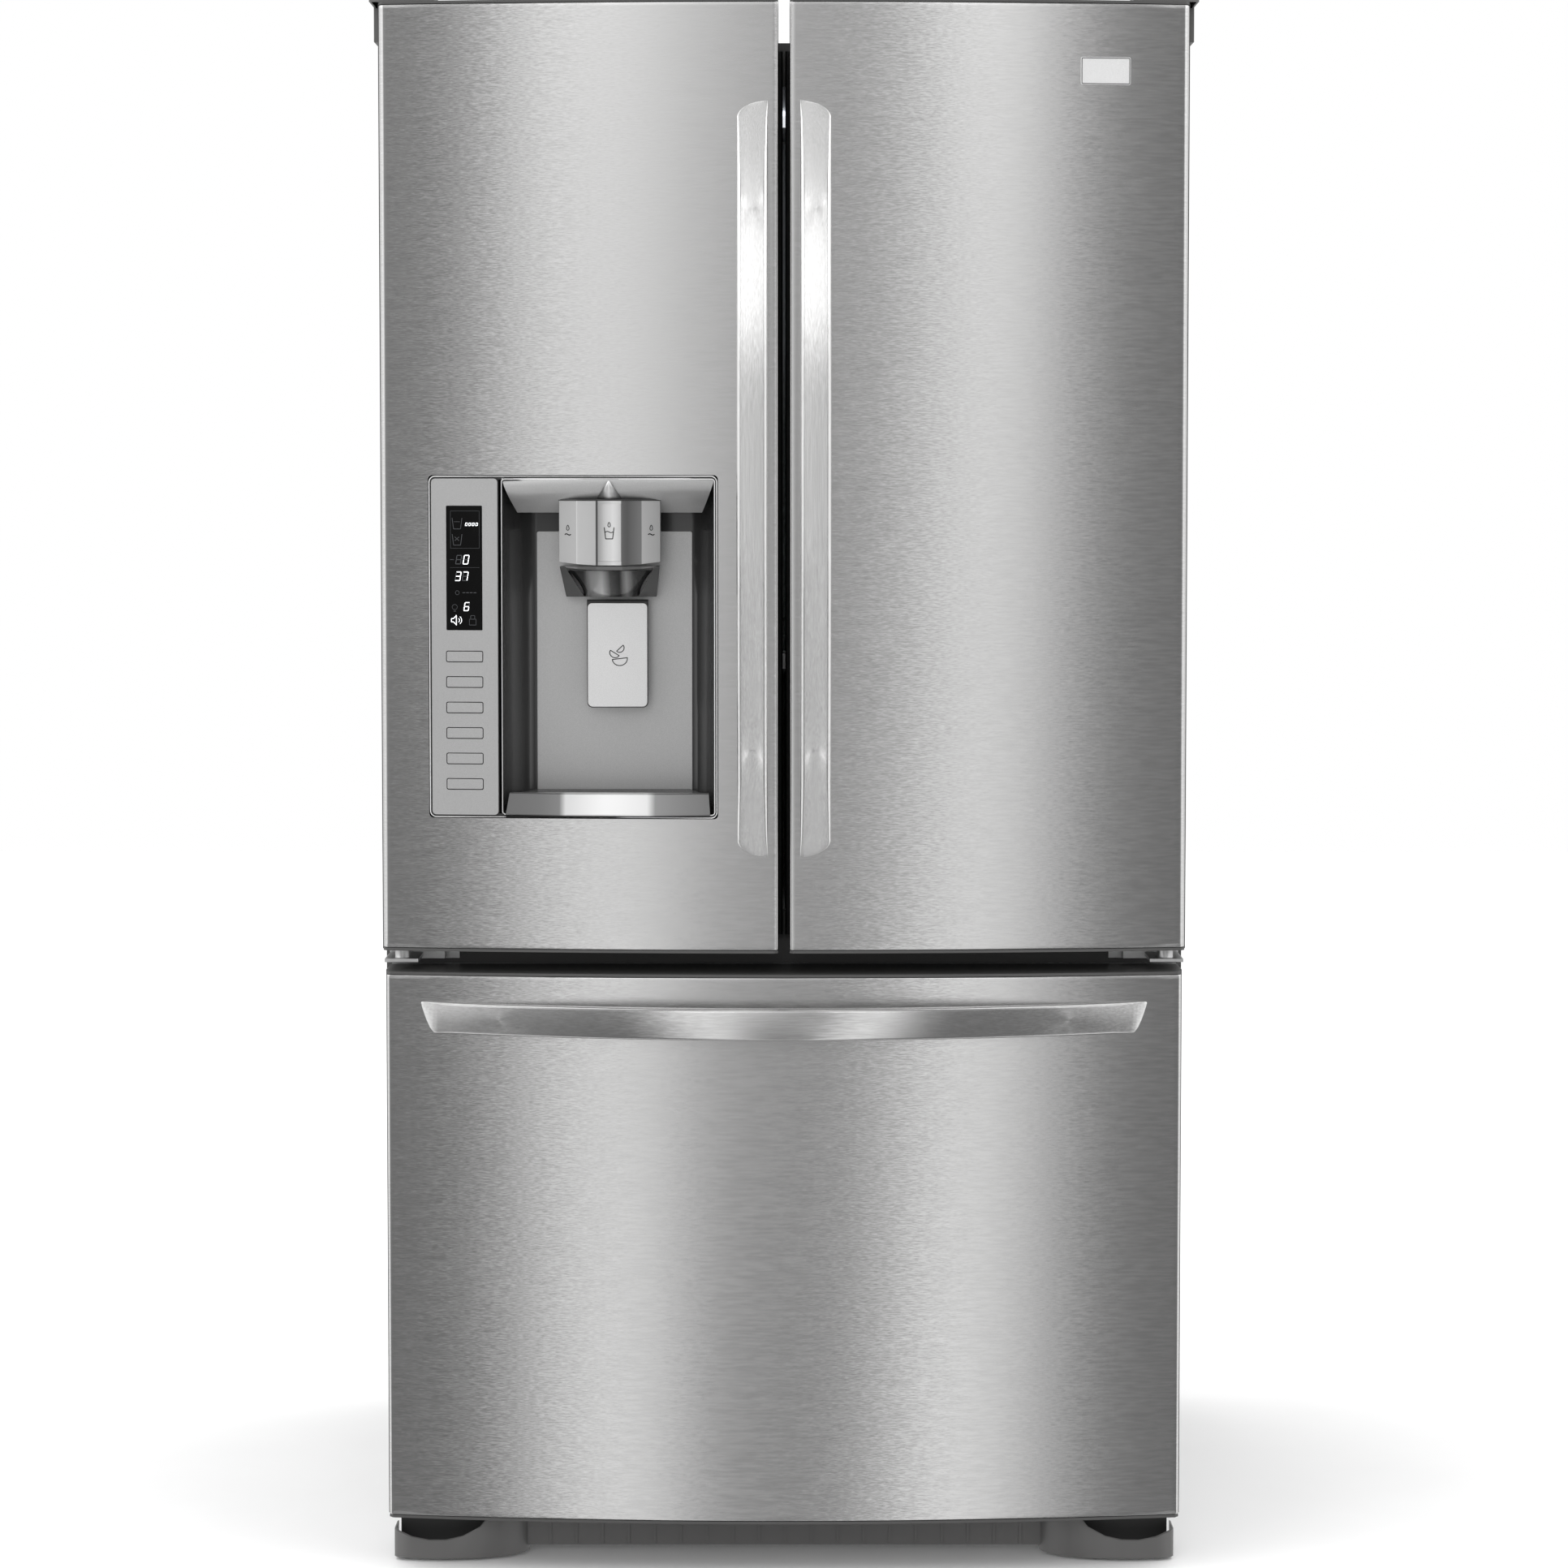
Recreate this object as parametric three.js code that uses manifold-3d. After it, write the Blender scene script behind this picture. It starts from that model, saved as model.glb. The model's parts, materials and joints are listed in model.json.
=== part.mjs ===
// French door refrigerator with a bottom freezer drawer and a dispenser in the left door.
// Millimetres, +Z up. The front faces -Y, and left and right are as seen from the front.
// The origin is on the floor, midway between the sides and midway from handle to back.
import * as THREE from 'three';
import { mergeVertices } from 'three/addons/utils/BufferGeometryUtils.js';
import { ConvexGeometry } from 'three/addons/geometries/ConvexGeometry.js';
import Module from 'manifold-3d';

const wasm = await Module();
wasm.setup();

// ---- driving dimensions -------------------------------------------------------------
const GAP = 0.3; // clearance between pieces that touch

const CASE_HALF = 456; // half the cabinet's width
const CASE_FRONT = -276.5;
const CASE_BACK = 457.2;
const CASE_BOTTOM = 62;
const CASE_TOP = 1727;
const SHEET = 1; // steel sheet thickness
const LINER = 2; // plastic liner thickness

const FRIDGE = { half: 410, bottom: 738, top: 1680, back: 400 };
const FREEZER = { half: 398, bottom: 112, top: 648, back: 215 };
const MACHINE = { half: 440, front: 246, top: 330 };

const FRONT_RADIUS = 3390; // one arc across both doors and the drawer
const FRONT_Y = -399.5; // foremost line of that arc
const PANEL_BACK = -292; // flat back of each door's foamed core
const GASKET_BACK = -277;

const DOOR = { outer: 452.5, skin: 450, inner: 6.5, bottom: 705, top: 1762 };
const DRAWER = { outer: 449, skin: 446.5, bottom: 60, top: 681 };
const CAP = 3; // end cap above and below each steel skin
const SKIN_RETURN = 20; // how far a skin wraps round the door's side
const PIN = { x: 430.5, y: -343, r: 5, deep: 12 };
const DYKE = { outer: 400, inner: 34, bottom: 750, top: 1668, back: -235, wall: 22 };

const BAR = { x0: 18, x1: 52, z0: 813, z1: 1650, front: -460.5, thick: 20, cut: 19 };
const PULL = { z0: 613, z1: 648, top: 408, bottom: 392, front: -444.5, thick: 17 };

const DISP = { x0: -396, x1: -74, z0: 856, z1: 1237, back: -303.5, proud: 1.2 };
const CAVITY = { x0: -314, x1: -77, z0: 859, z1: 1235, y: -388 };
const CAVITY_BACK = { x0: -283, x1: -101, z1: 1196, y: -308 };
const PANEL = { x: -356, width: 76, z0: 859, z1: 1235, thick: 3.5, proud: 1.5, pocket: 8 };
const BUTTON = { count: 6, width: 41, height: 12, thick: 5, top: 1035.8, pitch: 28.5 };
const HEAD_X = -194.5; // centre line of the water head, ice chute and paddle
const HEAD = { z0: 1137, z1: 1211, halves: [14.5, 36, 56.5], fronts: [-384, -380, -372] };

const FLOOR_LEG = { x: 400, y: -253, r: 20, stem: 6 };
const ROLLER = { x: 425, y: 372, r: 22, width: 16, axle: 4 };

// ---- solids -------------------------------------------------------------------------
function toSolid(geometry) {
  const bare = geometry.clone();
  bare.deleteAttribute('normal');
  bare.deleteAttribute('uv');
  const welded = mergeVertices(bare, 1e-4);
  return new wasm.Manifold(new wasm.Mesh({
    numProp: 3,
    vertProperties: new Float32Array(welded.attributes.position.array),
    triVerts: new Uint32Array(welded.index.array),
  }));
}

function toGeometry(solid) {
  const mesh = solid.getMesh();
  const geometry = new THREE.BufferGeometry();
  geometry.setAttribute('position', new THREE.BufferAttribute(mesh.vertProperties, 3));
  geometry.setIndex(new THREE.BufferAttribute(mesh.triVerts, 1));
  geometry.computeVertexNormals();
  return geometry;
}

const join = (first, ...rest) =>
  toGeometry(rest.reduce((sum, g) => sum.add(toSolid(g)), toSolid(first)));

const cut = (body, ...tools) =>
  toGeometry(tools.reduce((left, g) => left.subtract(toSolid(g)), toSolid(body)));

const common = (a, b) => toGeometry(toSolid(a).intersect(toSolid(b)));

function box(x, y, z) {
  const size = [x, y, z].map(([a, b]) => Math.abs(b - a));
  const middle = [x, y, z].map(([a, b]) => (a + b) / 2);
  return new THREE.BoxGeometry(...size).translate(...middle);
}

function outline(points) {
  return new THREE.Shape(points.map(([u, v]) => new THREE.Vector2(u, v)));
}

// An outline in X and Y, raised from z0 to z1.
function planSolid(points, z0, z1) {
  const options = { depth: z1 - z0, bevelEnabled: false };
  return new THREE.ExtrudeGeometry(outline(points), options).translate(0, 0, z0);
}

// An outline in X and Z, with holes, from y0 back to y1.
function frontSolid(points, y0, y1, holes = []) {
  const shape = outline(points);
  shape.holes = holes.map((hole) => new THREE.Path(outline(hole).getPoints()));
  const geometry = new THREE.ExtrudeGeometry(shape, { depth: y1 - y0, bevelEnabled: false });
  return geometry.rotateX(Math.PI / 2).translate(0, y1, 0);
}

// An outline in Y and Z, from x0 across to x1.
function sideSolid(points, x0, x1) {
  const geometry = new THREE.ExtrudeGeometry(outline(points), {
    depth: x1 - x0,
    bevelEnabled: false,
  });
  const turn = new THREE.Matrix4().makeBasis(
    new THREE.Vector3(0, 1, 0),
    new THREE.Vector3(0, 0, 1),
    new THREE.Vector3(1, 0, 0),
  );
  return geometry.applyMatrix4(turn).translate(x0, 0, 0);
}

const rectangle = (x0, x1, z0, z1) => [[x0, z0], [x1, z0], [x1, z1], [x0, z1]];

function upright(r, z0, z1, x, y, sides = 16) {
  const geometry = new THREE.CylinderGeometry(r, r, z1 - z0, sides).rotateX(Math.PI / 2);
  return geometry.translate(x, y, (z0 + z1) / 2);
}

function crosswise(r, x0, x1, y, z, sides = 20) {
  const geometry = new THREE.CylinderGeometry(r, r, x1 - x0, sides).rotateZ(Math.PI / 2);
  return geometry.translate((x0 + x1) / 2, y, z);
}

function lengthwise(r, y0, y1, x, z, sides = 20) {
  const geometry = new THREE.CylinderGeometry(r, r, y1 - y0, sides);
  return geometry.translate(x, (y0 + y1) / 2, z);
}

// The same piece for the other side of the cabinet.
function mirrored(geometry) {
  const flipped = (geometry.index ? geometry.toNonIndexed() : geometry.clone()).scale(-1, 1, 1);
  const position = flipped.attributes.position;
  const corner = new THREE.Vector3();
  const other = new THREE.Vector3();
  for (let i = 0; i < position.count; i += 3) {
    corner.fromBufferAttribute(position, i + 1);
    other.fromBufferAttribute(position, i + 2);
    position.setXYZ(i + 1, other.x, other.y, other.z);
    position.setXYZ(i + 2, corner.x, corner.y, corner.z);
  }
  flipped.computeVertexNormals();
  return flipped;
}

// An open-topped bin with straight walls.
function tub(x, y, z, wall) {
  const inside = box(
    [x[0] + wall, x[1] - wall],
    [y[0] + wall, y[1] - wall],
    [z[0] + wall, z[1] + wall],
  );
  return cut(box(x, y, z), inside);
}

// An open-topped bin whose walls grow from wall at the rim to foot at the floor.
function draftedTub(x, y, z, wall, foot) {
  const taper = ([a, b]) => [
    [a + foot, z[0] + wall],
    [b - foot, z[0] + wall],
    [b - wall, z[1]],
    [b - wall, z[1] + wall],
    [a + wall, z[1] + wall],
    [a + wall, z[1]],
  ];
  const inside = common(frontSolid(taper(x), y[0], y[1]), sideSolid(taper(y), x[0], x[1]));
  return cut(box(x, y, z), inside);
}

// Points of an arc through two ends with a given height at the middle, as [u, v] pairs.
function bow(u0, v0, u1, v1, rise, steps) {
  const points = [];
  for (let i = 0; i <= steps; i += 1) {
    const t = i / steps;
    points.push([u0 + (u1 - u0) * t, v0 + (v1 - v0) * t + rise * 4 * t * (1 - t)]);
  }
  return points;
}

// ---- materials ----------------------------------------------------------------------
const finish = (color, roughness, metalness) =>
  () => new THREE.MeshStandardMaterial({ color, roughness, metalness });

const stainless = finish(0xa8a6a4, 0.32, 1);
const satinSteel = finish(0xcfcfce, 0.28, 1);
const chromed = finish(0xe4e4e4, 0.12, 1);
const zinc = finish(0x9a9c9e, 0.4, 1);
const greyPaint = finish(0x5c5a59, 0.5, 0.2);
const darkPlastic = finish(0x3a3a3a, 0.5, 0);
const greyPlastic = finish(0x8b8a89, 0.4, 0.1);
const silverPlastic = finish(0xb9b9b8, 0.35, 0.5);
const whitePlastic = finish(0xe9ebec, 0.4, 0);
const clearPlastic = finish(0xd6e2e6, 0.15, 0);
const glazing = finish(0xcfe0e0, 0.05, 0);
const sealRubber = finish(0x2a2a2b, 0.7, 0);
const foamFill = finish(0xe6dfb8, 0.9, 0);
const smoked = finish(0x1d1d1f, 0.15, 0);
const castPaint = finish(0x1c1c1e, 0.45, 0.2);

function part(group, name, geometry, material) {
  const mesh = new THREE.Mesh(geometry, material());
  mesh.name = name;
  group.add(mesh);
  return mesh;
}

const appliance = new THREE.Group();
const cabinet = new THREE.Group();
const leftDoor = new THREE.Group();
const rightDoor = new THREE.Group();
const drawer = new THREE.Group();
appliance.add(cabinet, leftDoor, rightDoor, drawer);

// ---- cabinet ------------------------------------------------------------------------
// The front of both openings is a flat steel face, where the gaskets close.
function cabinetShell() {
  const outer = rectangle(-CASE_HALF, CASE_HALF, CASE_BOTTOM, CASE_TOP);
  const inner = rectangle(
    -CASE_HALF + SHEET,
    CASE_HALF - SHEET,
    CASE_BOTTOM + SHEET,
    CASE_TOP - SHEET,
  );
  const hole = (room) => rectangle(
    -room.half + LINER,
    room.half - LINER,
    room.bottom + LINER,
    room.top - LINER,
  );
  const wrapper = frontSolid(outer, CASE_FRONT, CASE_BACK, [inner]);
  const face = frontSolid(outer, CASE_FRONT, CASE_FRONT + SHEET, [hole(FRIDGE), hole(FREEZER)]);
  return join(wrapper, face);
}

function insulation() {
  const room = (space) => box(
    [-space.half - GAP, space.half + GAP],
    [CASE_FRONT - 5, space.back + GAP],
    [space.bottom - GAP, space.top + GAP],
  );
  const block = box(
    [-CASE_HALF + SHEET + GAP, CASE_HALF - SHEET - GAP],
    [CASE_FRONT + SHEET + GAP, CASE_BACK - SHEET - 2 * GAP],
    [CASE_BOTTOM + SHEET + GAP, CASE_TOP - SHEET - GAP],
  );
  const machineRoom = box(
    [-MACHINE.half, MACHINE.half],
    [MACHINE.front, CASE_BACK + 5],
    [CASE_BOTTOM - 5, MACHINE.top],
  );
  return cut(block, room(FRIDGE), room(FREEZER), machineRoom);
}

function liner(room) {
  const front = CASE_FRONT + SHEET + GAP;
  const outer = box([-room.half, room.half], [front, room.back], [room.bottom, room.top]);
  const inner = box(
    [-room.half + LINER, room.half - LINER],
    [front - 5, room.back - LINER],
    [room.bottom + LINER, room.top - LINER],
  );
  return cut(outer, inner);
}

part(cabinet, 'cabinet_shell', cabinetShell(), greyPaint);
part(cabinet, 'insulation_foam', insulation(), foamFill);
part(cabinet, 'fridge_liner', liner(FRIDGE), whitePlastic);
part(cabinet, 'freezer_liner', liner(FREEZER), whitePlastic);

// ---- back and machine room ----------------------------------------------------------
const REAR_HALF = CASE_HALF - SHEET - 2;
const REAR_SPLIT = 332;
const GLAND = { x: -380, z: 112, half: 14, tall: 11 };
const FAN = { x: 120, z: 195, r: 74, hub: 15, blades: 5 };

function backPanel() {
  return box([-REAR_HALF, REAR_HALF], [CASE_BACK - SHEET, CASE_BACK], [REAR_SPLIT, 1722]);
}

// The fan's motor is a boss on the inside of the louvred cover.
function machineCover() {
  const plate = box([-REAR_HALF, REAR_HALF], [CASE_BACK - SHEET, CASE_BACK], [68, REAR_SPLIT - 2]);
  const motor = lengthwise(28, 426, CASE_BACK - SHEET / 2, FAN.x, FAN.z);
  const slots = [];
  for (let column = 0; column < 2; column += 1) {
    for (let row = 0; row < 6; row += 1) {
      const x = column ? 215 : -275;
      const z = 130 + row * 28;
      slots.push(box([x, x + 170], [CASE_BACK - 5, CASE_BACK + 5], [z, z + 8]));
    }
  }
  const glandHole = box(
    [GLAND.x - GLAND.half - GAP, GLAND.x + GLAND.half + GAP],
    [CASE_BACK - 5, CASE_BACK + 5],
    [GLAND.z - GLAND.tall - GAP, GLAND.z + GLAND.tall + GAP],
  );
  return cut(join(plate, motor), ...slots, glandHole);
}

// A flanged bushing in the cover, where the supply enters.
function cordGland() {
  const sleeve = box(
    [GLAND.x - GLAND.half, GLAND.x + GLAND.half],
    [CASE_BACK - 9, CASE_BACK + 2],
    [GLAND.z - GLAND.tall, GLAND.z + GLAND.tall],
  );
  const flange = box(
    [GLAND.x - GLAND.half - 4, GLAND.x + GLAND.half + 4],
    [CASE_BACK + GAP, CASE_BACK + 3.3],
    [GLAND.z - GLAND.tall - 4, GLAND.z + GLAND.tall + 4],
  );
  const bore = lengthwise(6, CASE_BACK - 20, CASE_BACK + 20, GLAND.x, GLAND.z, 12);
  return cut(join(sleeve, flange), bore);
}

function compressor() {
  const profile = [
    [0, 0], [62, 0], [62, 10], [84, 26], [88, 60], [88, 120], [80, 158], [52, 182], [0, 192],
  ];
  const points = profile.map(([r, h]) => new THREE.Vector2(r, h));
  const geometry = new THREE.LatheGeometry(points, 20).rotateX(Math.PI / 2);
  return geometry.translate(-190, 348, CASE_BOTTOM + SHEET + GAP);
}

function fan() {
  const blades = [];
  for (let i = 0; i < FAN.blades; i += 1) {
    const blade = new THREE.BoxGeometry(34, 2, FAN.r - 8).rotateZ(0.6);
    blade.translate(0, 0, (FAN.r + 8) / 2);
    blades.push(blade.rotateY((i * 2 * Math.PI) / FAN.blades));
  }
  const hub = lengthwise(FAN.hub, -14, 14, 0, 0, 16);
  return join(hub, ...blades);
}

part(cabinet, 'back_panel', backPanel(), greyPaint);
part(cabinet, 'machine_cover', machineCover(), greyPaint);
part(cabinet, 'cord_gland', cordGland(), darkPlastic);
part(cabinet, 'compressor', compressor(), castPaint);
part(cabinet, 'condenser_fan', fan(), darkPlastic).position.set(FAN.x, 411.5, FAN.z);

// ---- base ---------------------------------------------------------------------------
function baseFrame() {
  const top = CASE_BOTTOM - GAP;
  const rail = (side) => box([side * 410, side * 440], [-268, 430], [26, top]);
  const member = (y0, y1) => box([-440, 440], [y0, y1], [26, top]);
  const frame = join(rail(-1), rail(1), member(-268, -238), member(400, 430));
  const cuts = [];
  for (const side of [-1, 1]) {
    const notch = { x0: ROLLER.x - 11, x1: ROLLER.x + 11, y: ROLLER.r + 5 };
    cuts.push(box(
      [side * notch.x0, side * notch.x1],
      [ROLLER.y - notch.y, ROLLER.y + notch.y],
      [10, ROLLER.r * 2 + 6],
    ));
    cuts.push(box(
      [side * 405, side * 445],
      [ROLLER.y - ROLLER.axle - 0.5, ROLLER.y + ROLLER.axle + 0.5],
      [10, ROLLER.r + ROLLER.axle + 1],
    ));
    cuts.push(upright(
      FLOOR_LEG.stem + 0.5,
      10,
      58.5,
      side * FLOOR_LEG.x,
      FLOOR_LEG.y,
      12,
    ));
  }
  return cut(frame, ...cuts);
}

// A foot on a threaded stem.
function levelingLeg() {
  const profile = [
    [0, 0], [FLOOR_LEG.r, 0], [FLOOR_LEG.r, 7], [9, 12], [FLOOR_LEG.stem, 14],
    [FLOOR_LEG.stem, 57], [0, 57],
  ];
  const points = profile.map(([r, h]) => new THREE.Vector2(r, h));
  return new THREE.LatheGeometry(points, 18).rotateX(Math.PI / 2);
}

function roller() {
  const half = ROLLER.width / 2;
  const wheel = crosswise(ROLLER.r, -half, half, 0, 0, 24);
  const axle = crosswise(ROLLER.axle, -15, 15, 0, 0, 12);
  return join(wheel, axle);
}

// One moulding: a set-back strip between two leg covers that bulge forward.
function toeGrille() {
  const strip = box([-440, 440], [-304, -297], [8, 58]);
  const cover = planSolid([
    [-445, -296], [-445, -333], [-425, -338], [-385, -341], [-345, -337],
    [-315, -327], [-298, -312], [-292, -296],
  ], 4, 58);
  const hollow = planSolid([
    [-441, -290], [-441, -330], [-423, -334], [-385, -337], [-347, -333],
    [-318, -323], [-302, -308], [-296, -290],
  ], 0, 54);
  const arm = box([-445, -437], [-300, -268.4], [30, 58]);
  const end = join(cut(cover, hollow), arm);
  return join(strip, end, mirrored(end));
}

part(cabinet, 'base_frame', baseFrame(), zinc);
part(cabinet, 'toe_grille', toeGrille(), greyPlastic);
for (const [name, side] of [['left', -1], ['right', 1]]) {
  const leg = part(cabinet, `leveling_leg_${name}`, levelingLeg(), darkPlastic);
  leg.position.set(side * FLOOR_LEG.x, FLOOR_LEG.y, 0);
  const wheel = part(cabinet, `roller_${name}`, roller(), darkPlastic);
  wheel.position.set(side * ROLLER.x, ROLLER.y, ROLLER.r + GAP);
}

// ---- hinges -------------------------------------------------------------------------
const ARM_Z = 1763; // underside of the top hinge's arm, just over the door

function topHinge() {
  const base = box([-452, -398], [-272, -168], [CASE_TOP + GAP, CASE_TOP + 3.3]);
  const riser = box([-447, -410], [-273, -269], [CASE_TOP + GAP, ARM_Z + 3]);
  const arm = box([-447, -410], [-356, -269], [ARM_Z, ARM_Z + 3]);
  const pin = upright(PIN.r, DOOR.top - 9, ARM_Z + 1, -PIN.x, PIN.y);
  return join(base, riser, arm, pin);
}

// A cover that sits on the cabinet's corner, with a roof over the hinge's arm and a skirt.
function hingeCover() {
  const top = 1770;
  const body = box([-461, -388], [-276, -150], [CASE_TOP + GAP, top]);
  const roof = box([-461, -388], [-362, -270], [DOOR.top + 0.6, top]);
  const skirt = box([-461, -CASE_HALF - GAP], [-312, -150], [1724, top]);
  const bodyRoom = box([-458.5, -390], [-274.5, -152], [CASE_TOP - 1, top - 2]);
  const roofRoom = box([-458.5, -390], [-360, -268], [DOOR.top, top - 2]);
  const skirtRoom = box([-458.5, -450], [-275, -152], [CASE_TOP - 1, top - 2]);
  return cut(join(body, roof, skirt), bodyRoom, roofRoom, skirtRoom);
}

// The pin of this bracket turns up into the door; it is bolted to the cabinet's front face.
function centreHinge() {
  const face = CASE_FRONT - GAP;
  const plate = box([-452, -372], [face - 3, face], [685, 701]);
  const arm = box([-450, -412], [-357, face - 1], [690, 694]);
  const block = box([-428, -387], [-300, face - 1], [687, 702]);
  const washer = upright(9, 693, DOOR.bottom - 0.5, -PIN.x, PIN.y);
  const pin = upright(PIN.r, 692, DOOR.bottom + 9, -PIN.x, PIN.y);
  return join(plate, arm, block, washer, pin);
}

const pair = (group, stem, geometry, material) => {
  part(group, `${stem}_left`, geometry, material);
  part(group, `${stem}_right`, mirrored(geometry), material);
};

pair(cabinet, 'top_hinge', topHinge(), zinc);
pair(cabinet, 'hinge_cover', hingeCover(), greyPlastic);
pair(cabinet, 'centre_hinge', centreHinge(), zinc);

// ---- fittings inside the cabinet ----------------------------------------------------
const SHELF = { x0: -405, x1: -5, y0: -105, y1: 396, thick: 12, left: 1400, right: 1330 };
const CRISPER = { x0: -400, x1: -6, y0: -95, y1: 380, z0: 746, z1: 1000, wall: 3 };

const shelf = (z) => box([SHELF.x0, SHELF.x1], [SHELF.y0, SHELF.y1], [z, z + SHELF.thick]);

part(cabinet, 'shelf_left', shelf(SHELF.left), glazing);
part(cabinet, 'shelf_right', mirrored(shelf(SHELF.right)), glazing);
part(cabinet, 'crisper_cover', box([-405, 405], [-105, 396], [1006, 1030]), glazing);
pair(
  cabinet,
  'crisper',
  tub([CRISPER.x0, CRISPER.x1], [CRISPER.y0, CRISPER.y1], [CRISPER.z0, CRISPER.z1], CRISPER.wall),
  clearPlastic,
);

// Channels on the freezer's sides, which the drawer's runners slide in.
const RAIL = { out: 395, y0: -272, y1: 170, z0: 192, z1: 238 };

function slideRail() {
  const body = box([-RAIL.out, -380], [RAIL.y0, RAIL.y1], [RAIL.z0, RAIL.z1]);
  const track = box([-RAIL.out + 5, -375], [RAIL.y0 - 5, RAIL.y1 + 5], [RAIL.z0 + 5, RAIL.z1 - 5]);
  return cut(body, track);
}

pair(cabinet, 'slide_rail', slideRail(), zinc);

// ---- door and drawer fronts ---------------------------------------------------------
const frontY = (x) => FRONT_Y + FRONT_RADIUS - Math.sqrt(FRONT_RADIUS ** 2 - x ** 2);

function frontArc(x0, x1, offset, steps = 10) {
  const points = [];
  for (let i = 0; i <= steps; i += 1) {
    const x = x0 + ((x1 - x0) * i) / steps;
    points.push([x, frontY(x) + offset]);
  }
  return points;
}

// Outer plan of a steel skin from x0 to x1, with eased corners, ending at the returns.
function skinOutline(x0, x1) {
  const ease = 4;
  const back0 = frontY(x0) + SKIN_RETURN;
  const back1 = frontY(x1) + SKIN_RETURN;
  return [
    [x0, back0],
    [x0, frontY(x0) + ease],
    ...frontArc(x0 + ease, x1 - ease, 0),
    [x1, frontY(x1) + ease],
    [x1, back1],
  ];
}

function skinSheet(x0, x1, z0, z1) {
  const inside = frontArc(x0 + 4, x1 - 4, SHEET).reverse();
  const points = [
    ...skinOutline(x0, x1),
    [x1 - SHEET, frontY(x1) + SKIN_RETURN],
    [x1 - SHEET, frontY(x1) + 5],
    ...inside,
    [x0 + SHEET, frontY(x0) + 5],
    [x0 + SHEET, frontY(x0) + SKIN_RETURN],
  ];
  return planSolid(points, z0 + CAP + GAP, z1 - CAP - GAP);
}

// The foamed body behind a skin: it fills the skin and stands out beside it as a side frame.
function foamedCore(x0, x1, frame0, frame1, z0, z1) {
  const clear = SHEET + GAP;
  const shoulder0 = frontY(x0) + SKIN_RETURN + GAP;
  const shoulder1 = frontY(x1) + SKIN_RETURN + GAP;
  const body = planSolid([
    [frame0, shoulder0],
    [x0 + clear, shoulder0],
    [x0 + clear, frontY(x0) + 6],
    ...frontArc(x0 + 5, x1 - 5, clear + 0.3),
    [x1 - clear, frontY(x1) + 6],
    [x1 - clear, shoulder1],
    [frame1, shoulder1],
    [frame1, PANEL_BACK],
    [frame0, PANEL_BACK],
  ], z0, z1);
  const ends = [
    [frame0, shoulder0],
    ...skinOutline(x0, x1),
    [frame1, shoulder1],
    [frame1, PANEL_BACK],
    [frame0, PANEL_BACK],
  ];
  const caps = [planSolid(ends, z0, z0 + CAP), planSolid(ends, z1 - CAP, z1)];
  return join(body, ...caps);
}

function ring(x0, x1, z0, z1, width, y0, y1) {
  const hole = rectangle(x0 + width, x1 - width, z0 + width, z1 - width);
  return frontSolid(rectangle(x0, x1, z0, z1), y0, y1, [hole]);
}

// The raised ridge of the inner liner, which holds the door's bins.
const dyke = () => ring(
  -DYKE.outer,
  -DYKE.inner,
  DYKE.bottom,
  DYKE.top,
  DYKE.wall,
  PANEL_BACK - 1,
  DYKE.back,
);

const pinHoles = () => [
  upright(PIN.r + 0.4, DOOR.top - PIN.deep, DOOR.top + 5, -PIN.x, PIN.y),
  upright(PIN.r + 0.4, DOOR.bottom - 5, DOOR.bottom + PIN.deep, -PIN.x, PIN.y),
];

function doorCore() {
  const core = foamedCore(
    -DOOR.skin,
    -DOOR.inner,
    -DOOR.outer,
    -DOOR.inner,
    DOOR.bottom,
    DOOR.top,
  );
  return cut(join(core, dyke()), ...pinHoles());
}

// A seal round the door's back, with a lip that nearly meets the other door's.
function doorGasket() {
  const front = PANEL_BACK + GAP;
  const seal = ring(-424, -10, 712, 1718, 13, front, GASKET_BACK);
  const lip = box([-11, -1.5], [front, front + 4], [712, 1718]);
  return join(seal, lip);
}

// A bar bowed out from the door; its ends are cut back on the outer side in a curve.
function doorHandle() {
  const foot = FRONT_Y - 0.4;
  const rise = BAR.front - foot;
  const outer = bow(BAR.z0, foot, BAR.z1, foot, rise, 20);
  const inner = bow(BAR.z0 + 20, foot, BAR.z1 - 20, foot, rise + BAR.thick, 16).reverse();
  const side = [...outer, ...inner].map(([z, y]) => [y, z]);
  const bar = sideSolid(side, -BAR.x1, -BAR.x0);
  const width = BAR.x1 - BAR.x0;
  const end = [0, 0.3, 0.6, 0.85, 1].map((t) => [
    -BAR.x0 - width * t,
    BAR.cut * (1 - Math.sqrt(1 - t * t)),
  ]);
  const low = end.map(([x, z]) => [x, BAR.z0 + z]);
  const high = end.map(([x, z]) => [x, BAR.z1 - z]).reverse();
  return common(bar, frontSolid([...low, ...high], -500, -380));
}

const doorSkin = () => skinSheet(-DOOR.skin, -DOOR.inner, DOOR.bottom, DOOR.top);

// ---- left door ----------------------------------------------------------------------
const inset = (space, margin) => rectangle(
  space.x0 - margin,
  space.x1 + margin,
  space.z0 - margin,
  space.z1 + margin,
);

part(
  leftDoor,
  'door_left_skin',
  cut(doorSkin(), frontSolid(inset(DISP, 0.8), -450, -320)),
  stainless,
);

function leftCore() {
  const bulge = box([-DYKE.outer, -56], [PANEL_BACK - 1, -262], [800, 1245]);
  const pocket = frontSolid(inset(DISP, 0.8), -450, DISP.back + 0.5);
  const lugs = [880, 1540].map((z) => box([-DYKE.inner - 1, -31], [-262, -240], [z, z + 40]));
  return cut(join(doorCore(), bulge, ...lugs), pocket);
}

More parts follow.
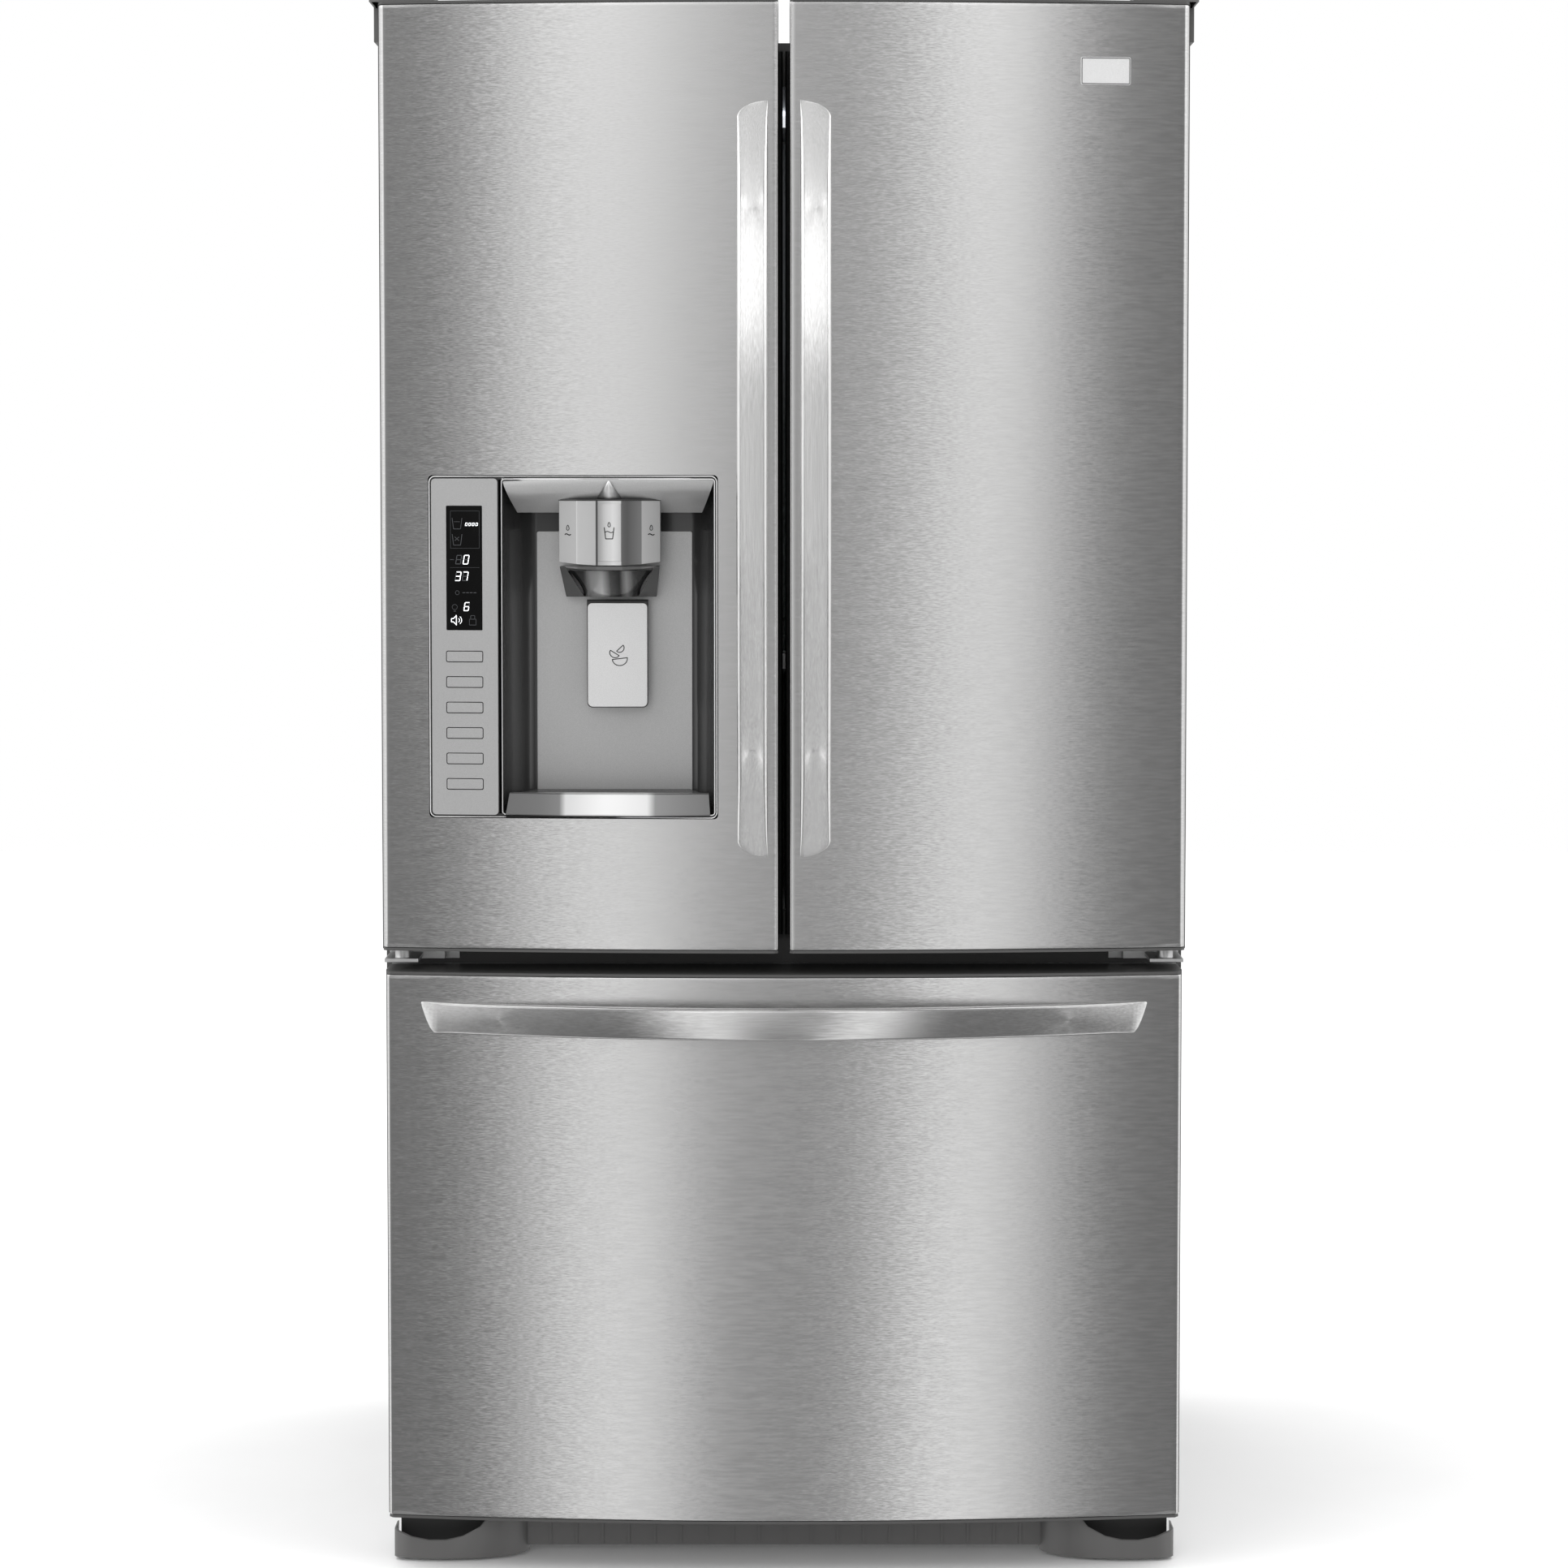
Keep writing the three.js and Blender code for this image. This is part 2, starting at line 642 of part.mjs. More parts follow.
part(leftDoor, 'door_left_core', leftCore(), whitePlastic);
part(leftDoor, 'door_left_gasket', doorGasket(), sealRubber);
part(leftDoor, 'handle_left', doorHandle(), satinSteel);

// The bar that closes the gap between the doors. It is stored folded back on its hinge.
part(leftDoor, 'mullion', box([-30, -14], [-269, -216], [748, 1670]), darkPlastic);

// The ice maker's room in the door, open to the back, where its own small door closes it.
function iceCompartment() {
  const shell = box([-376, -62], [DYKE.back + GAP, -125], [1250, 1644]);
  const room = box([-364, -74], [-222, -115], [1262, 1632]);
  return cut(shell, room);
}

part(leftDoor, 'ice_compartment', iceCompartment(), whitePlastic);

// ---- dispenser ----------------------------------------------------------------------
const panelFrame = new THREE.Group();
panelFrame.position.set(PANEL.x, frontY(PANEL.x), 0);
panelFrame.rotation.z = -Math.asin(-PANEL.x / FRONT_RADIUS);
leftDoor.add(panelFrame);
panelFrame.updateMatrix();

// A tapering alcove: its roof slopes down to the back and its walls close in.
function alcove() {
  const mouth = rectangle(CAVITY.x0, CAVITY.x1, CAVITY.z0, CAVITY.z1);
  const back = rectangle(CAVITY_BACK.x0, CAVITY_BACK.x1, CAVITY.z0, CAVITY_BACK.z1);
  const taper = new ConvexGeometry([
    ...mouth.map(([x, z]) => new THREE.Vector3(x, CAVITY.y, z)),
    ...back.map(([x, z]) => new THREE.Vector3(x, CAVITY_BACK.y, z)),
  ]);
  return join(taper, frontSolid(mouth, CAVITY.y - 40, CAVITY.y));
}

function dispenserHousing() {
  const plan = [
    ...frontArc(DISP.x0, DISP.x1, -DISP.proud, 6),
    [DISP.x1, DISP.back],
    [DISP.x0, DISP.back],
  ];
  const half = PANEL.width / 2 + GAP;
  const pocket = box([-half, half], [-20, PANEL.pocket], [PANEL.z0 - GAP, PANEL.z1 + GAP]);
  return cut(
    planSolid(plan, DISP.z0, DISP.z1),
    alcove(),
    pocket.applyMatrix4(panelFrame.matrix),
  );
}

const buttonZ = (i) => BUTTON.top - i * BUTTON.pitch;

function controlPanel() {
  const holes = [];
  for (let i = 0; i < BUTTON.count; i += 1) {
    const half = BUTTON.width / 2 + 0.4;
    const tall = BUTTON.height / 2 + 0.4;
    holes.push(rectangle(-half, half, buttonZ(i) - tall, buttonZ(i) + tall));
  }
  const face = rectangle(-PANEL.width / 2, PANEL.width / 2, PANEL.z0, PANEL.z1);
  return frontSolid(face, -PANEL.proud, PANEL.thick - PANEL.proud, holes);
}

function button() {
  const half = BUTTON.width / 2;
  const tall = BUTTON.height / 2;
  return box([-half, half], [0, BUTTON.thick], [-tall, tall]);
}

part(leftDoor, 'dispenser_housing', dispenserHousing(), darkPlastic);
part(panelFrame, 'control_panel', controlPanel(), silverPlastic);
for (let i = 0; i < BUTTON.count; i += 1) {
  const cap = part(panelFrame, `button_${i + 1}`, button(), silverPlastic);
  cap.position.set(0, -PANEL.proud - 0.3, buttonZ(i));
}

const PUSH = { half: 13.5, front: -386, thick: 5, z0: 1142, z1: 1206 };

// A faceted head on a neck from the alcove's back wall.
function waterHead() {
  const right = HEAD.halves.map((x, i) => [HEAD_X + x, HEAD.fronts[i]]);
  const left = HEAD.halves.map((x, i) => [HEAD_X - x, HEAD.fronts[i]]).reverse();
  const rear = -351;
  const half = HEAD.halves[2];
  const corners = [[HEAD_X + half, rear], [HEAD_X - half, rear]];
  const body = planSolid([...left, ...right, ...corners], HEAD.z0, HEAD.z1);
  const neck = box([HEAD_X - 45, HEAD_X + 45], [rear - 5, CAVITY_BACK.y - 0.4], [1138, 1190]);
  const pocket = box(
    [HEAD_X - PUSH.half - 0.5, HEAD_X + PUSH.half + 0.5],
    [-400, PUSH.front + PUSH.thick + 4],
    [PUSH.z0 - 0.5, PUSH.z1 + 0.5],
  );
  return cut(join(body, neck), pocket);
}

// A wedge under the head, with a funnel in its sloping face.
function iceChute() {
  const top = HEAD.z0 - 0.6;
  const low = 1101;
  const back = CAVITY_BACK.y - 0.4;
  const corners = [
    [-55, -374, top], [55, -374, top], [-55, back, top], [55, back, top],
    [-51, -332, low], [51, -332, low], [-51, back, low], [51, back, low],
  ].map(([x, y, z]) => new THREE.Vector3(HEAD_X + x, y, z));
  const funnel = new THREE.CylinderGeometry(28, 44, 44, 20).rotateX(Math.PI / 2 - 0.45);
  return cut(new ConvexGeometry(corners), funnel.translate(HEAD_X, -357, 1103));
}

const PADDLE = { half: 34.5, z0: 977, z1: 1094, front: -338, thick: 2.5, pivotY: -332, r: 4 };

// A plate that hangs from a barrel under the chute, with a stiffening rib behind.
function icePaddle() {
  const { half } = PADDLE;
  const face = [
    [-half, PADDLE.z0 + 5], [-half + 5, PADDLE.z0 + 1], [0, PADDLE.z0 - 2],
    [half - 5, PADDLE.z0 + 1], [half, PADDLE.z0 + 5], [half, PADDLE.z1], [-half, PADDLE.z1],
  ].map(([x, z]) => [HEAD_X + 7 + x, z]);
  const plate = frontSolid(face, PADDLE.front, PADDLE.front + PADDLE.thick);
  const barrel = crosswise(
    PADDLE.r, HEAD_X + 7 - half, HEAD_X + 7 + half, PADDLE.pivotY, PADDLE.z1, 12,
  );
  const rib = box(
    [HEAD_X + 2, HEAD_X + 12],
    [PADDLE.front + 1, PADDLE.front + 8],
    [PADDLE.z0 + 20, PADDLE.z1],
  );
  return join(plate, barrel, rib);
}

// The tray on the alcove's floor, with a faceted lip that stands out past the door.
function dripTray() {
  const lip = planSolid([
    [-311, -385.5], [-254, -401], [-148, -409], [-80, -402], [-80, -394], [-309, -379],
  ], CAVITY.z0 + GAP, 884);
  const pan = planSolid([[-302, -386], [-281, -314], [-104, -314], [-86, -386]], 872, 884);
  const dish = planSolid([[-296, -382], [-276, -318], [-109, -318], [-92, -382]], 875, 890);
  return cut(join(lip, pan), dish);
}

part(leftDoor, 'water_head', waterHead(), satinSteel);
part(leftDoor, 'water_button', box(
  [HEAD_X - PUSH.half, HEAD_X + PUSH.half],
  [PUSH.front, PUSH.front + PUSH.thick],
  [PUSH.z0, PUSH.z1],
), chromed);
part(leftDoor, 'ice_chute', iceChute(), smoked);
part(leftDoor, 'ice_paddle', icePaddle(), chromed);
part(leftDoor, 'drip_tray', dripTray(), silverPlastic);

// ---- right door ---------------------------------------------------------------------
part(rightDoor, 'door_right_skin', mirrored(doorSkin()), stainless);
part(rightDoor, 'door_right_core', mirrored(doorCore()), whitePlastic);
part(rightDoor, 'door_right_gasket', mirrored(doorGasket()), sealRubber);
part(rightDoor, 'handle_right', mirrored(doorHandle()), satinSteel);

const BIN = { x0: 58, x1: 376, depth: 112, tall: 100, wall: 3, foot: 8 };
const BIN_HEIGHTS = { upper: 1380, lower: 900 };

for (const [name, z] of Object.entries(BIN_HEIGHTS)) {
  const front = PANEL_BACK + 1;
  const bin = draftedTub(
    [BIN.x0, BIN.x1],
    [front, front + BIN.depth],
    [z, z + BIN.tall],
    BIN.wall,
    BIN.foot,
  );
  part(rightDoor, `door_bin_${name}`, bin, clearPlastic);
}

// ---- freezer drawer -----------------------------------------------------------------
const drawerSkin = () => skinSheet(-DRAWER.skin, DRAWER.skin, DRAWER.bottom, DRAWER.top);
const drawerCore = () => foamedCore(
  -DRAWER.skin,
  DRAWER.skin,
  -DRAWER.outer,
  DRAWER.outer,
  DRAWER.bottom,
  DRAWER.top,
);

// A bar bowed out across the drawer; its ends slant in towards the bottom.
function drawerHandle() {
  const foot = frontY(PULL.top) - 0.5;
  const rise = PULL.front - foot;
  const outer = bow(-PULL.top, foot, PULL.top, foot, rise, 20);
  const inner = bow(-PULL.top + 26, foot, PULL.top - 26, foot, rise + PULL.thick, 20)
    .map(([x, y]) => [x, Math.min(y, frontY(x) - 0.5)]);
  const bar = planSolid([...outer, ...inner.reverse()], PULL.z0, PULL.z1);
  const slant = frontSolid([
    [-PULL.top, PULL.z1], [-PULL.top + 2, PULL.z1 - 12], [-PULL.bottom, PULL.z0 + 2],
    [-PULL.bottom + 8, PULL.z0], [PULL.bottom - 8, PULL.z0], [PULL.bottom, PULL.z0 + 2],
    [PULL.top - 2, PULL.z1 - 12], [PULL.top, PULL.z1],
  ], -480, -340);
  return common(bar, slant);
}

// Two runners joined by a plate on the drawer's back and a bar behind the basket.
function carriage() {
  const runner = (side) => box([side * 372, side * 388], [-290, 168], [200, 230]);
  const plate = box([-388, 388], [PANEL_BACK + GAP, -288], [170, 300]);
  const bar = box([-388, 388], [156, 168], [200, 215]);
  return join(plate, runner(-1), runner(1), bar);
}

// The deep basket hangs on the runners by its rim.
function basket() {
  const body = box([-366, 366], [-272, 145], [128, 395]);
  const rim = box([-378, 378], [-276, 149], [231, 235]);
  const inside = box([-362, 362], [-268, 141], [132, 400]);
  return cut(join(body, rim), inside);
}

part(drawer, 'drawer_skin', drawerSkin(), stainless);
part(drawer, 'drawer_core', drawerCore(), whitePlastic);
part(drawer, 'drawer_gasket', ring(-424, 424, 84, 672, 13, PANEL_BACK + GAP, GASKET_BACK), sealRubber);
part(drawer, 'drawer_handle', drawerHandle(), stainless);
part(drawer, 'drawer_carriage', carriage(), zinc);
part(drawer, 'freezer_basket', basket(), whitePlastic);
part(drawer, 'freezer_tray', tub([-366, 366], [-270, 15], [396, 500], 3), clearPlastic);

export default appliance;
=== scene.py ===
# Looks for a french door refrigerator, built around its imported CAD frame.
# Lengths are in millimetres until place() scales a mesh to metres.
import json
import math

import bmesh
import bpy
from mathutils import Matrix, Vector

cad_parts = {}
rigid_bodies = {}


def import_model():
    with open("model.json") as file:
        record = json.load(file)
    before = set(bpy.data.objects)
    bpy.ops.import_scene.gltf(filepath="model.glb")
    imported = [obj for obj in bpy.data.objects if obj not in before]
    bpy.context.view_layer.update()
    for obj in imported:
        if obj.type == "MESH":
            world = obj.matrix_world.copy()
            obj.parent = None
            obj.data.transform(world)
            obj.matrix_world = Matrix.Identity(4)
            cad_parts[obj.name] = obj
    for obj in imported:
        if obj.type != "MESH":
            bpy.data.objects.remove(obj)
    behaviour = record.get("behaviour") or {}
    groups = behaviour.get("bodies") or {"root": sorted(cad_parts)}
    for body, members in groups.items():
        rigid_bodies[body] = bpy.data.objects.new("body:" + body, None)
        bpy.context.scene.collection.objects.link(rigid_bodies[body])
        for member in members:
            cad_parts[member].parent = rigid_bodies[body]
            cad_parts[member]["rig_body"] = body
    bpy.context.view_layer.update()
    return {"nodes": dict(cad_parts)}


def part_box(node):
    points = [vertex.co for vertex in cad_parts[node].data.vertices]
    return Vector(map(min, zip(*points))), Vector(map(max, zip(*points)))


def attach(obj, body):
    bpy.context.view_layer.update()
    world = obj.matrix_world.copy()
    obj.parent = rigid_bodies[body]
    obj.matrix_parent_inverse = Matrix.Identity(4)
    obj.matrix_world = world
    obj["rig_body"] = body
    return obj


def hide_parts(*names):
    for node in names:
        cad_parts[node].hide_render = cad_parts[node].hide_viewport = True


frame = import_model()

MM = 0.001
NODES = frame["nodes"]
SCENE = bpy.context.scene


def box_of(node):
    """A CAD node's lowest and highest corners, in millimetres."""
    low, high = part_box(node)
    return low / MM, high / MM


# ---- driving dimensions, most of them from the frame ---------------------------------
FRONT_RADIUS = 3390
ARC_Y = box_of("drawer_skin")[0].y + FRONT_RADIUS  # centre of the one arc of the fronts
EDGE = 1.6  # rolled edge along the top and bottom of a steel skin
OUTER_CORNER = 7.0  # rolled corner on the hinge side of a door
INNER_CORNER = 2.6
SHEET = 1.0  # thickness of a steel skin
SKIN_RETURN = 20  # how far a skin is folded back at its sides
CORNER_STEPS = 6  # facets of a skin's rolled corner

ROOM_HIGH = box_of("fridge_liner")[1]
ICE_LOW, ICE_HIGH = box_of("ice_compartment")
DISP_LOW, DISP_HIGH = box_of("dispenser_housing")
HEAD_LOW, HEAD_HIGH = box_of("water_head")
CHUTE_LOW, CHUTE_HIGH = box_of("ice_chute")
PADDLE_LOW, PADDLE_HIGH = box_of("ice_paddle")
TRAY_LOW, TRAY_HIGH = box_of("drip_tray")
BUTTONS = [f"button_{i + 1}" for i in range(6)]

PANEL_HALF = 38  # half the control panel's width
PANEL_X = DISP_LOW.x + 40  # centre line of the control panel
PANEL_TURN = -math.asin(-PANEL_X / FRONT_RADIUS)
ALCOVE_LEFT = PANEL_X + PANEL_HALF + 4
ALCOVE_RIGHT = DISP_HIGH.x - 3
HEAD_X = (HEAD_LOW.x + HEAD_HIGH.x) / 2


def front_y(x):
    """Where the curved front of the doors and the drawer is, at x."""
    return ARC_Y - math.sqrt(FRONT_RADIUS**2 - x * x)


# ---- shader helpers ------------------------------------------------------------------
class Paint:
    """A node material: its tree, its shader and short ways to add nodes."""

    def __init__(self, name):
        self.material = bpy.data.materials.new(name)
        self.material.use_nodes = True
        self.tree = self.material.node_tree
        self.shader = self.tree.nodes["Principled BSDF"]
        self.place = self.add("ShaderNodeTexCoord").outputs["Object"]

    def add(self, kind, **settings):
        node = self.tree.nodes.new(kind)
        for key, value in settings.items():
            setattr(node, key, value)
        return node

    def link(self, source, target):
        self.tree.links.new(source, target)

    def set(self, **values):
        for key, value in values.items():
            self.shader.inputs[key.replace("_", " ")].default_value = value

    def stretched(self, scale):
        mapping = self.add("ShaderNodeMapping")
        mapping.inputs["Scale"].default_value = scale
        self.link(self.place, mapping.inputs["Vector"])
        return mapping.outputs["Vector"]

    def noise(self, scale, detail=3.0, roughness=0.55):
        node = self.add("ShaderNodeTexNoise")
        node.inputs["Scale"].default_value = 1.0
        node.inputs["Detail"].default_value = detail
        node.inputs["Roughness"].default_value = roughness
        self.link(self.stretched(scale), node.inputs["Vector"])
        return node.outputs["Fac"]

    def ramp(self, source, low, high, start=0.3, end=0.7):
        node = self.add("ShaderNodeMapRange")
        node.inputs["From Min"].default_value = start
        node.inputs["From Max"].default_value = end
        node.inputs["To Min"].default_value = low
        node.inputs["To Max"].default_value = high
        self.link(source, node.inputs["Value"])
        return node.outputs["Result"]

    def shades(self, source, first, second, start=0.3, end=0.7):
        node = self.add("ShaderNodeMix", data_type="RGBA")
        node.inputs["A"].default_value = (*first, 1)
        node.inputs["B"].default_value = (*second, 1)
        self.link(self.ramp(source, 0, 1, start, end), node.inputs["Factor"])
        return node.outputs["Result"]

    def bump(self, source, strength, height):
        node = self.add("ShaderNodeBump")
        node.inputs["Strength"].default_value = strength
        node.inputs["Distance"].default_value = height
        self.link(source, node.inputs["Height"])
        return node.outputs["Normal"]

    def scatter(self, source, amount, axis):
        """Tips the normal along an axis by a noise, as brushing does from line to line."""
        centred = self.add("ShaderNodeMath", operation="SUBTRACT")
        centred.inputs[1].default_value = 0.5
        self.link(source, centred.inputs[0])
        push = self.add("ShaderNodeVectorMath", operation="SCALE")
        push.inputs[0].default_value = [amount * part for part in axis]
        self.link(centred.outputs[0], push.inputs["Scale"])
        total = self.add("ShaderNodeVectorMath", operation="ADD")
        self.link(self.add("ShaderNodeNewGeometry").outputs["Normal"], total.inputs[0])
        self.link(push.outputs[0], total.inputs[1])
        unit = self.add("ShaderNodeVectorMath", operation="NORMALIZE")
        self.link(total.outputs[0], unit.inputs[0])
        return unit.outputs[0]

    def wire(self, **sources):
        for key, source in sources.items():
            self.link(source, self.shader.inputs[key.replace("_", " ")])


def tone(grey, warmth=0.0):
    """A near-neutral colour, a little warmer or cooler."""
    return (grey * (1 + warmth), grey, grey * (1 - warmth))


# ---- materials -----------------------------------------------------------------------
def brushed_steel(name, grey, roughness, grain, axis, tilt, upright):
    """Steel with short brushed lines along one axis and highlights spread across them."""
    p = Paint(name)
    fine = p.noise(grain, 2.0)
    broad = p.noise([part * 0.31 for part in grain], 1.0)
    p.set(Metallic=1.0, Anisotropic=0.85, Anisotropic_Rotation=0.0 if upright else 0.25)
    p.wire(
        Base_Color=p.shades(fine, tone(grey * 0.93, 0.006), tone(grey * 1.07, 0.002)),
        Roughness=p.ramp(broad, roughness * 0.88, roughness * 1.12),
        Normal=p.scatter(fine, tilt, axis),
        Tangent=p.add("ShaderNodeTangent", direction_type="RADIAL", axis="Z").outputs[0],
    )
    return p.material


def polished_metal(name, grey, roughness):
    p = Paint(name)
    haze = p.noise((35, 35, 35), 4.0)
    p.set(Metallic=1.0)
    p.wire(
        Base_Color=p.shades(haze, tone(grey * 0.97), tone(grey)),
        Roughness=p.ramp(haze, roughness * 0.7, roughness * 1.4),
    )
    return p.material


def plated_steel(name, grey):
    """Zinc plate with soft crystalline blotches."""
    p = Paint(name)
    crystals = p.add("ShaderNodeTexVoronoi")
    crystals.inputs["Scale"].default_value = 90
    p.link(p.place, crystals.inputs["Vector"])
    cells = crystals.outputs["Distance"]
    p.set(Metallic=0.9)
    p.wire(
        Base_Color=p.shades(cells, tone(grey * 0.86), tone(grey * 1.05), 0.0, 0.8),
        Roughness=p.ramp(cells, 0.3, 0.46, 0.0, 0.8),
        Normal=p.bump(cells, 0.05, 0.0004),
    )
    return p.material


def textured_paint(name, grey, roughness, warmth=0.0):
    """Baked paint with a fine orange-peel texture."""
    p = Paint(name)
    peel = p.noise((420, 420, 420), 2.0)
    patches = p.noise((3, 3, 3), 3.0)
    p.set(Specular_IOR_Level=0.45)
    p.wire(
        Base_Color=p.shades(patches, tone(grey * 0.94, warmth), tone(grey * 1.06, warmth)),
        Roughness=p.ramp(patches, roughness - 0.04, roughness + 0.05),
        Normal=p.bump(peel, 0.22, 0.0003),
    )
    return p.material


def moulded_plastic(name, grey, roughness, warmth=0.0, texture=0.12, coat=0.0):
    """Injection-moulded plastic: a fine spark texture and slow changes of gloss."""
    p = Paint(name)
    spark = p.noise((900, 900, 900), 1.0)
    flow = p.noise((9, 9, 5), 3.0)
    p.set(Coat_Weight=coat, Coat_Roughness=0.1)
    p.wire(
        Base_Color=p.shades(flow, tone(grey * 0.965, warmth), tone(grey * 1.035, warmth)),
        Roughness=p.ramp(flow, roughness * 0.9, roughness * 1.12),
        Normal=p.bump(spark, texture, 0.0002),
    )
    return p.material


def metallic_plastic(name, grey, roughness, metallic=0.75):
    """Plastic sprayed silver, with the sparkle of fine flakes."""
    p = Paint(name)
    flakes = p.noise((1500, 1500, 1500), 1.0)
    flow = p.noise((6, 6, 4), 2.0)
    p.set(Metallic=metallic)
    p.wire(
        Base_Color=p.shades(flakes, tone(grey * 0.93), tone(grey * 1.07), 0.35, 0.65),
        Roughness=p.ramp(flow, roughness * 0.92, roughness * 1.08),
        Normal=p.bump(flakes, 0.05, 0.0002),
    )
    return p.material


def satin_with_painted_reflections(name, bands, low, high, roughness=0.3):
    """Satin silver with painted reflections: its base colour steps lighter and darker across its
    width from facet to facet, in place of reflected light and shade.
    """
    p = Paint(name)
    parts = p.add("ShaderNodeSeparateXYZ")
    p.link(p.place, parts.inputs[0])
    across = p.ramp(parts.outputs["X"], 0, 1, low * MM, high * MM)
    ramp = p.add("ShaderNodeValToRGB")
    ramp.color_ramp.interpolation = "LINEAR"
    while len(ramp.color_ramp.elements) > 1:
        ramp.color_ramp.elements.remove(ramp.color_ramp.elements[0])
    for i, (x, grey) in enumerate(bands):
        spot = (x - low) / (high - low)
        stop = ramp.color_ramp.elements[0] if i == 0 else ramp.color_ramp.elements.new(spot)
        stop.position = spot
        stop.color = (*tone(grey), 1)
    p.link(across, ramp.inputs["Fac"])
    lines = p.noise((1500, 1500, 40), 2.0)
    p.set(Metallic=0.7)
    p.wire(
        Base_Color=ramp.outputs["Color"],
        Roughness=p.ramp(lines, roughness * 0.95, roughness * 1.05),
    )
    return p.material


def clear_resin(name, tint, roughness, transmission=0.92, ior=1.49):
    p = Paint(name)
    flow = p.noise((7, 7, 7), 2.0)
    p.set(Transmission_Weight=transmission, IOR=ior)
    p.wire(
        Base_Color=p.shades(flow, [part * 0.985 for part in tint], tint),
        Roughness=p.ramp(flow, roughness * 0.96, roughness * 1.04),
    )
    return p.material


def seal_rubber(name):
    p = Paint(name)
    bloom = p.noise((60, 60, 60), 4.0)
    p.set(Specular_IOR_Level=0.35)
    p.wire(
        Base_Color=p.shades(bloom, tone(0.018), tone(0.034)),
        Roughness=p.ramp(bloom, 0.55, 0.75),
        Normal=p.bump(bloom, 0.1, 0.0003),
    )
    return p.material


def black_glass(name):
    p = Paint(name)
    smear = p.noise((14, 14, 8), 3.0)
    p.set(Specular_IOR_Level=0.12)
    p.wire(
        Base_Color=p.shades(smear, tone(0.0025), tone(0.004)),
        Roughness=p.ramp(smear, 0.05, 0.12),
    )
    return p.material


def glowing(name, colour, strength):
    p = Paint(name)
    cells = p.noise((300, 300, 300), 1.0)
    p.wire(
        Base_Color=p.shades(cells, [part * 0.9 for part in colour], colour),
        Emission_Color=p.shades(cells, [part * 0.94 for part in colour], colour),
    )
    p.set(Emission_Strength=strength, Roughness=0.4)
    return p.material


def cast_foam(name):
    p = Paint(name)
    cells = p.noise((250, 250, 250), 3.0)
    p.wire(
        Base_Color=p.shades(cells, (0.78, 0.70, 0.44), (0.86, 0.80, 0.56)),
        Roughness=p.ramp(cells, 0.8, 0.95),
        Normal=p.bump(cells, 0.4, 0.0008),
    )
    return p.material


STAINLESS = brushed_steel("stainless", 0.61, 0.22, (150, 150, 1350), (1, 0, 0), 0.055, False)
DRAWER_BAR = brushed_steel("drawer_handle_steel", 0.63, 0.22, (40, 700, 700), (1, 0, 0), 0.02, False)
HANDLE = brushed_steel("handle_steel", 0.80, 0.24, (1100, 1100, 14), (0, 0, 1), 0.03, True)
BRIGHT_EDGE = polished_metal("bright_edge", 0.78, 0.16)
RIM = metallic_plastic("bright_rim", 0.78, 0.30, 0.35)
BADGE = metallic_plastic("badge_silver", 0.66, 0.28, 0.3)
MIRROR = metallic_plastic("mirror_plate", 0.74, 0.10, 0.6)
ZINC = plated_steel("zinc_plate", 0.55)
CASE_PAINT = textured_paint("cabinet_paint", 0.060, 0.42, 0.01)
COMPRESSOR_PAINT = textured_paint("compressor_paint", 0.018, 0.35)
DARK = moulded_plastic("dark_plastic", 0.022, 0.42)
ALCOVE_DARK = moulded_plastic("alcove_plastic", 0.030, 0.24, 0.0, 0.03, 0.35)
GREY = moulded_plastic("grey_plastic", 0.10, 0.38, 0.015)
ALCOVE_SATIN = metallic_plastic("alcove_satin", 0.46, 0.34, 0.55)
SILVER = metallic_plastic("silver_plastic", 0.50, 0.36)
WHITE = moulded_plastic("white_liner", 0.78, 0.33, -0.01, 0.05)
CLEAR = clear_resin("clear_resin", (0.93, 0.97, 0.98), 0.04)
GLASS = clear_resin("shelf_glass", (0.86, 0.95, 0.93), 0.03, 0.95, 1.52)
FROSTED = clear_resin("frosted_resin", (0.86, 0.90, 0.92), 0.32, 0.6)
SMOKED = metallic_plastic("smoked_resin", 0.13, 0.10, 0.5)
RUBBER = seal_rubber("seal_rubber")
DISPLAY = black_glass("display_glass")
# Painted reflections: base-colour levels across x that get lighter and darker from facet to facet,
# standing in for the highlights and shade that reflections would give.
HEAD_PAINTED_REFLECTIONS = [
    (-57, 0.40), (-37, 0.44), (-36.5, 0.66), (-15.5, 0.60), (-14.6, 0.05), (-13, 0.08),
    (-12.6, 0.40), (4, 0.78), (13, 0.66), (13.4, 0.16), (20, 0.13), (35.5, 0.24), (36.2, 0.48),
    (57, 0.42),
]
FUNNEL_PAINTED_HIGHLIGHTS = [
    (-47, 0.02), (-30, 0.05), (-22, 0.45), (-10, 0.62), (0, 0.14), (10, 0.05), (18, 0.40),
    (26, 0.10), (47, 0.02),
]
CONE_PAINTED_HIGHLIGHT = [(-15, 0.10), (-6, 0.22), (0, 0.85), (4, 0.50), (15, 0.12)]
TRAY_PAINTED_REFLECTIONS = [
    (-311, 0.16), (-270, 0.20), (-250, 0.24), (-243, 0.70), (-200, 0.76), (-152, 0.70),
    (-143, 0.26), (-110, 0.20), (-82, 0.16),
]


def painted_reflections_from_head(name, shades, half, roughness=0.3):
    """Painted reflection bands, with their levels given from the water head's centre line."""
    bands = [(HEAD_X + x, grey) for x, grey in shades]
    return satin_with_painted_reflections(name, bands, HEAD_X - half, HEAD_X + half, roughness)
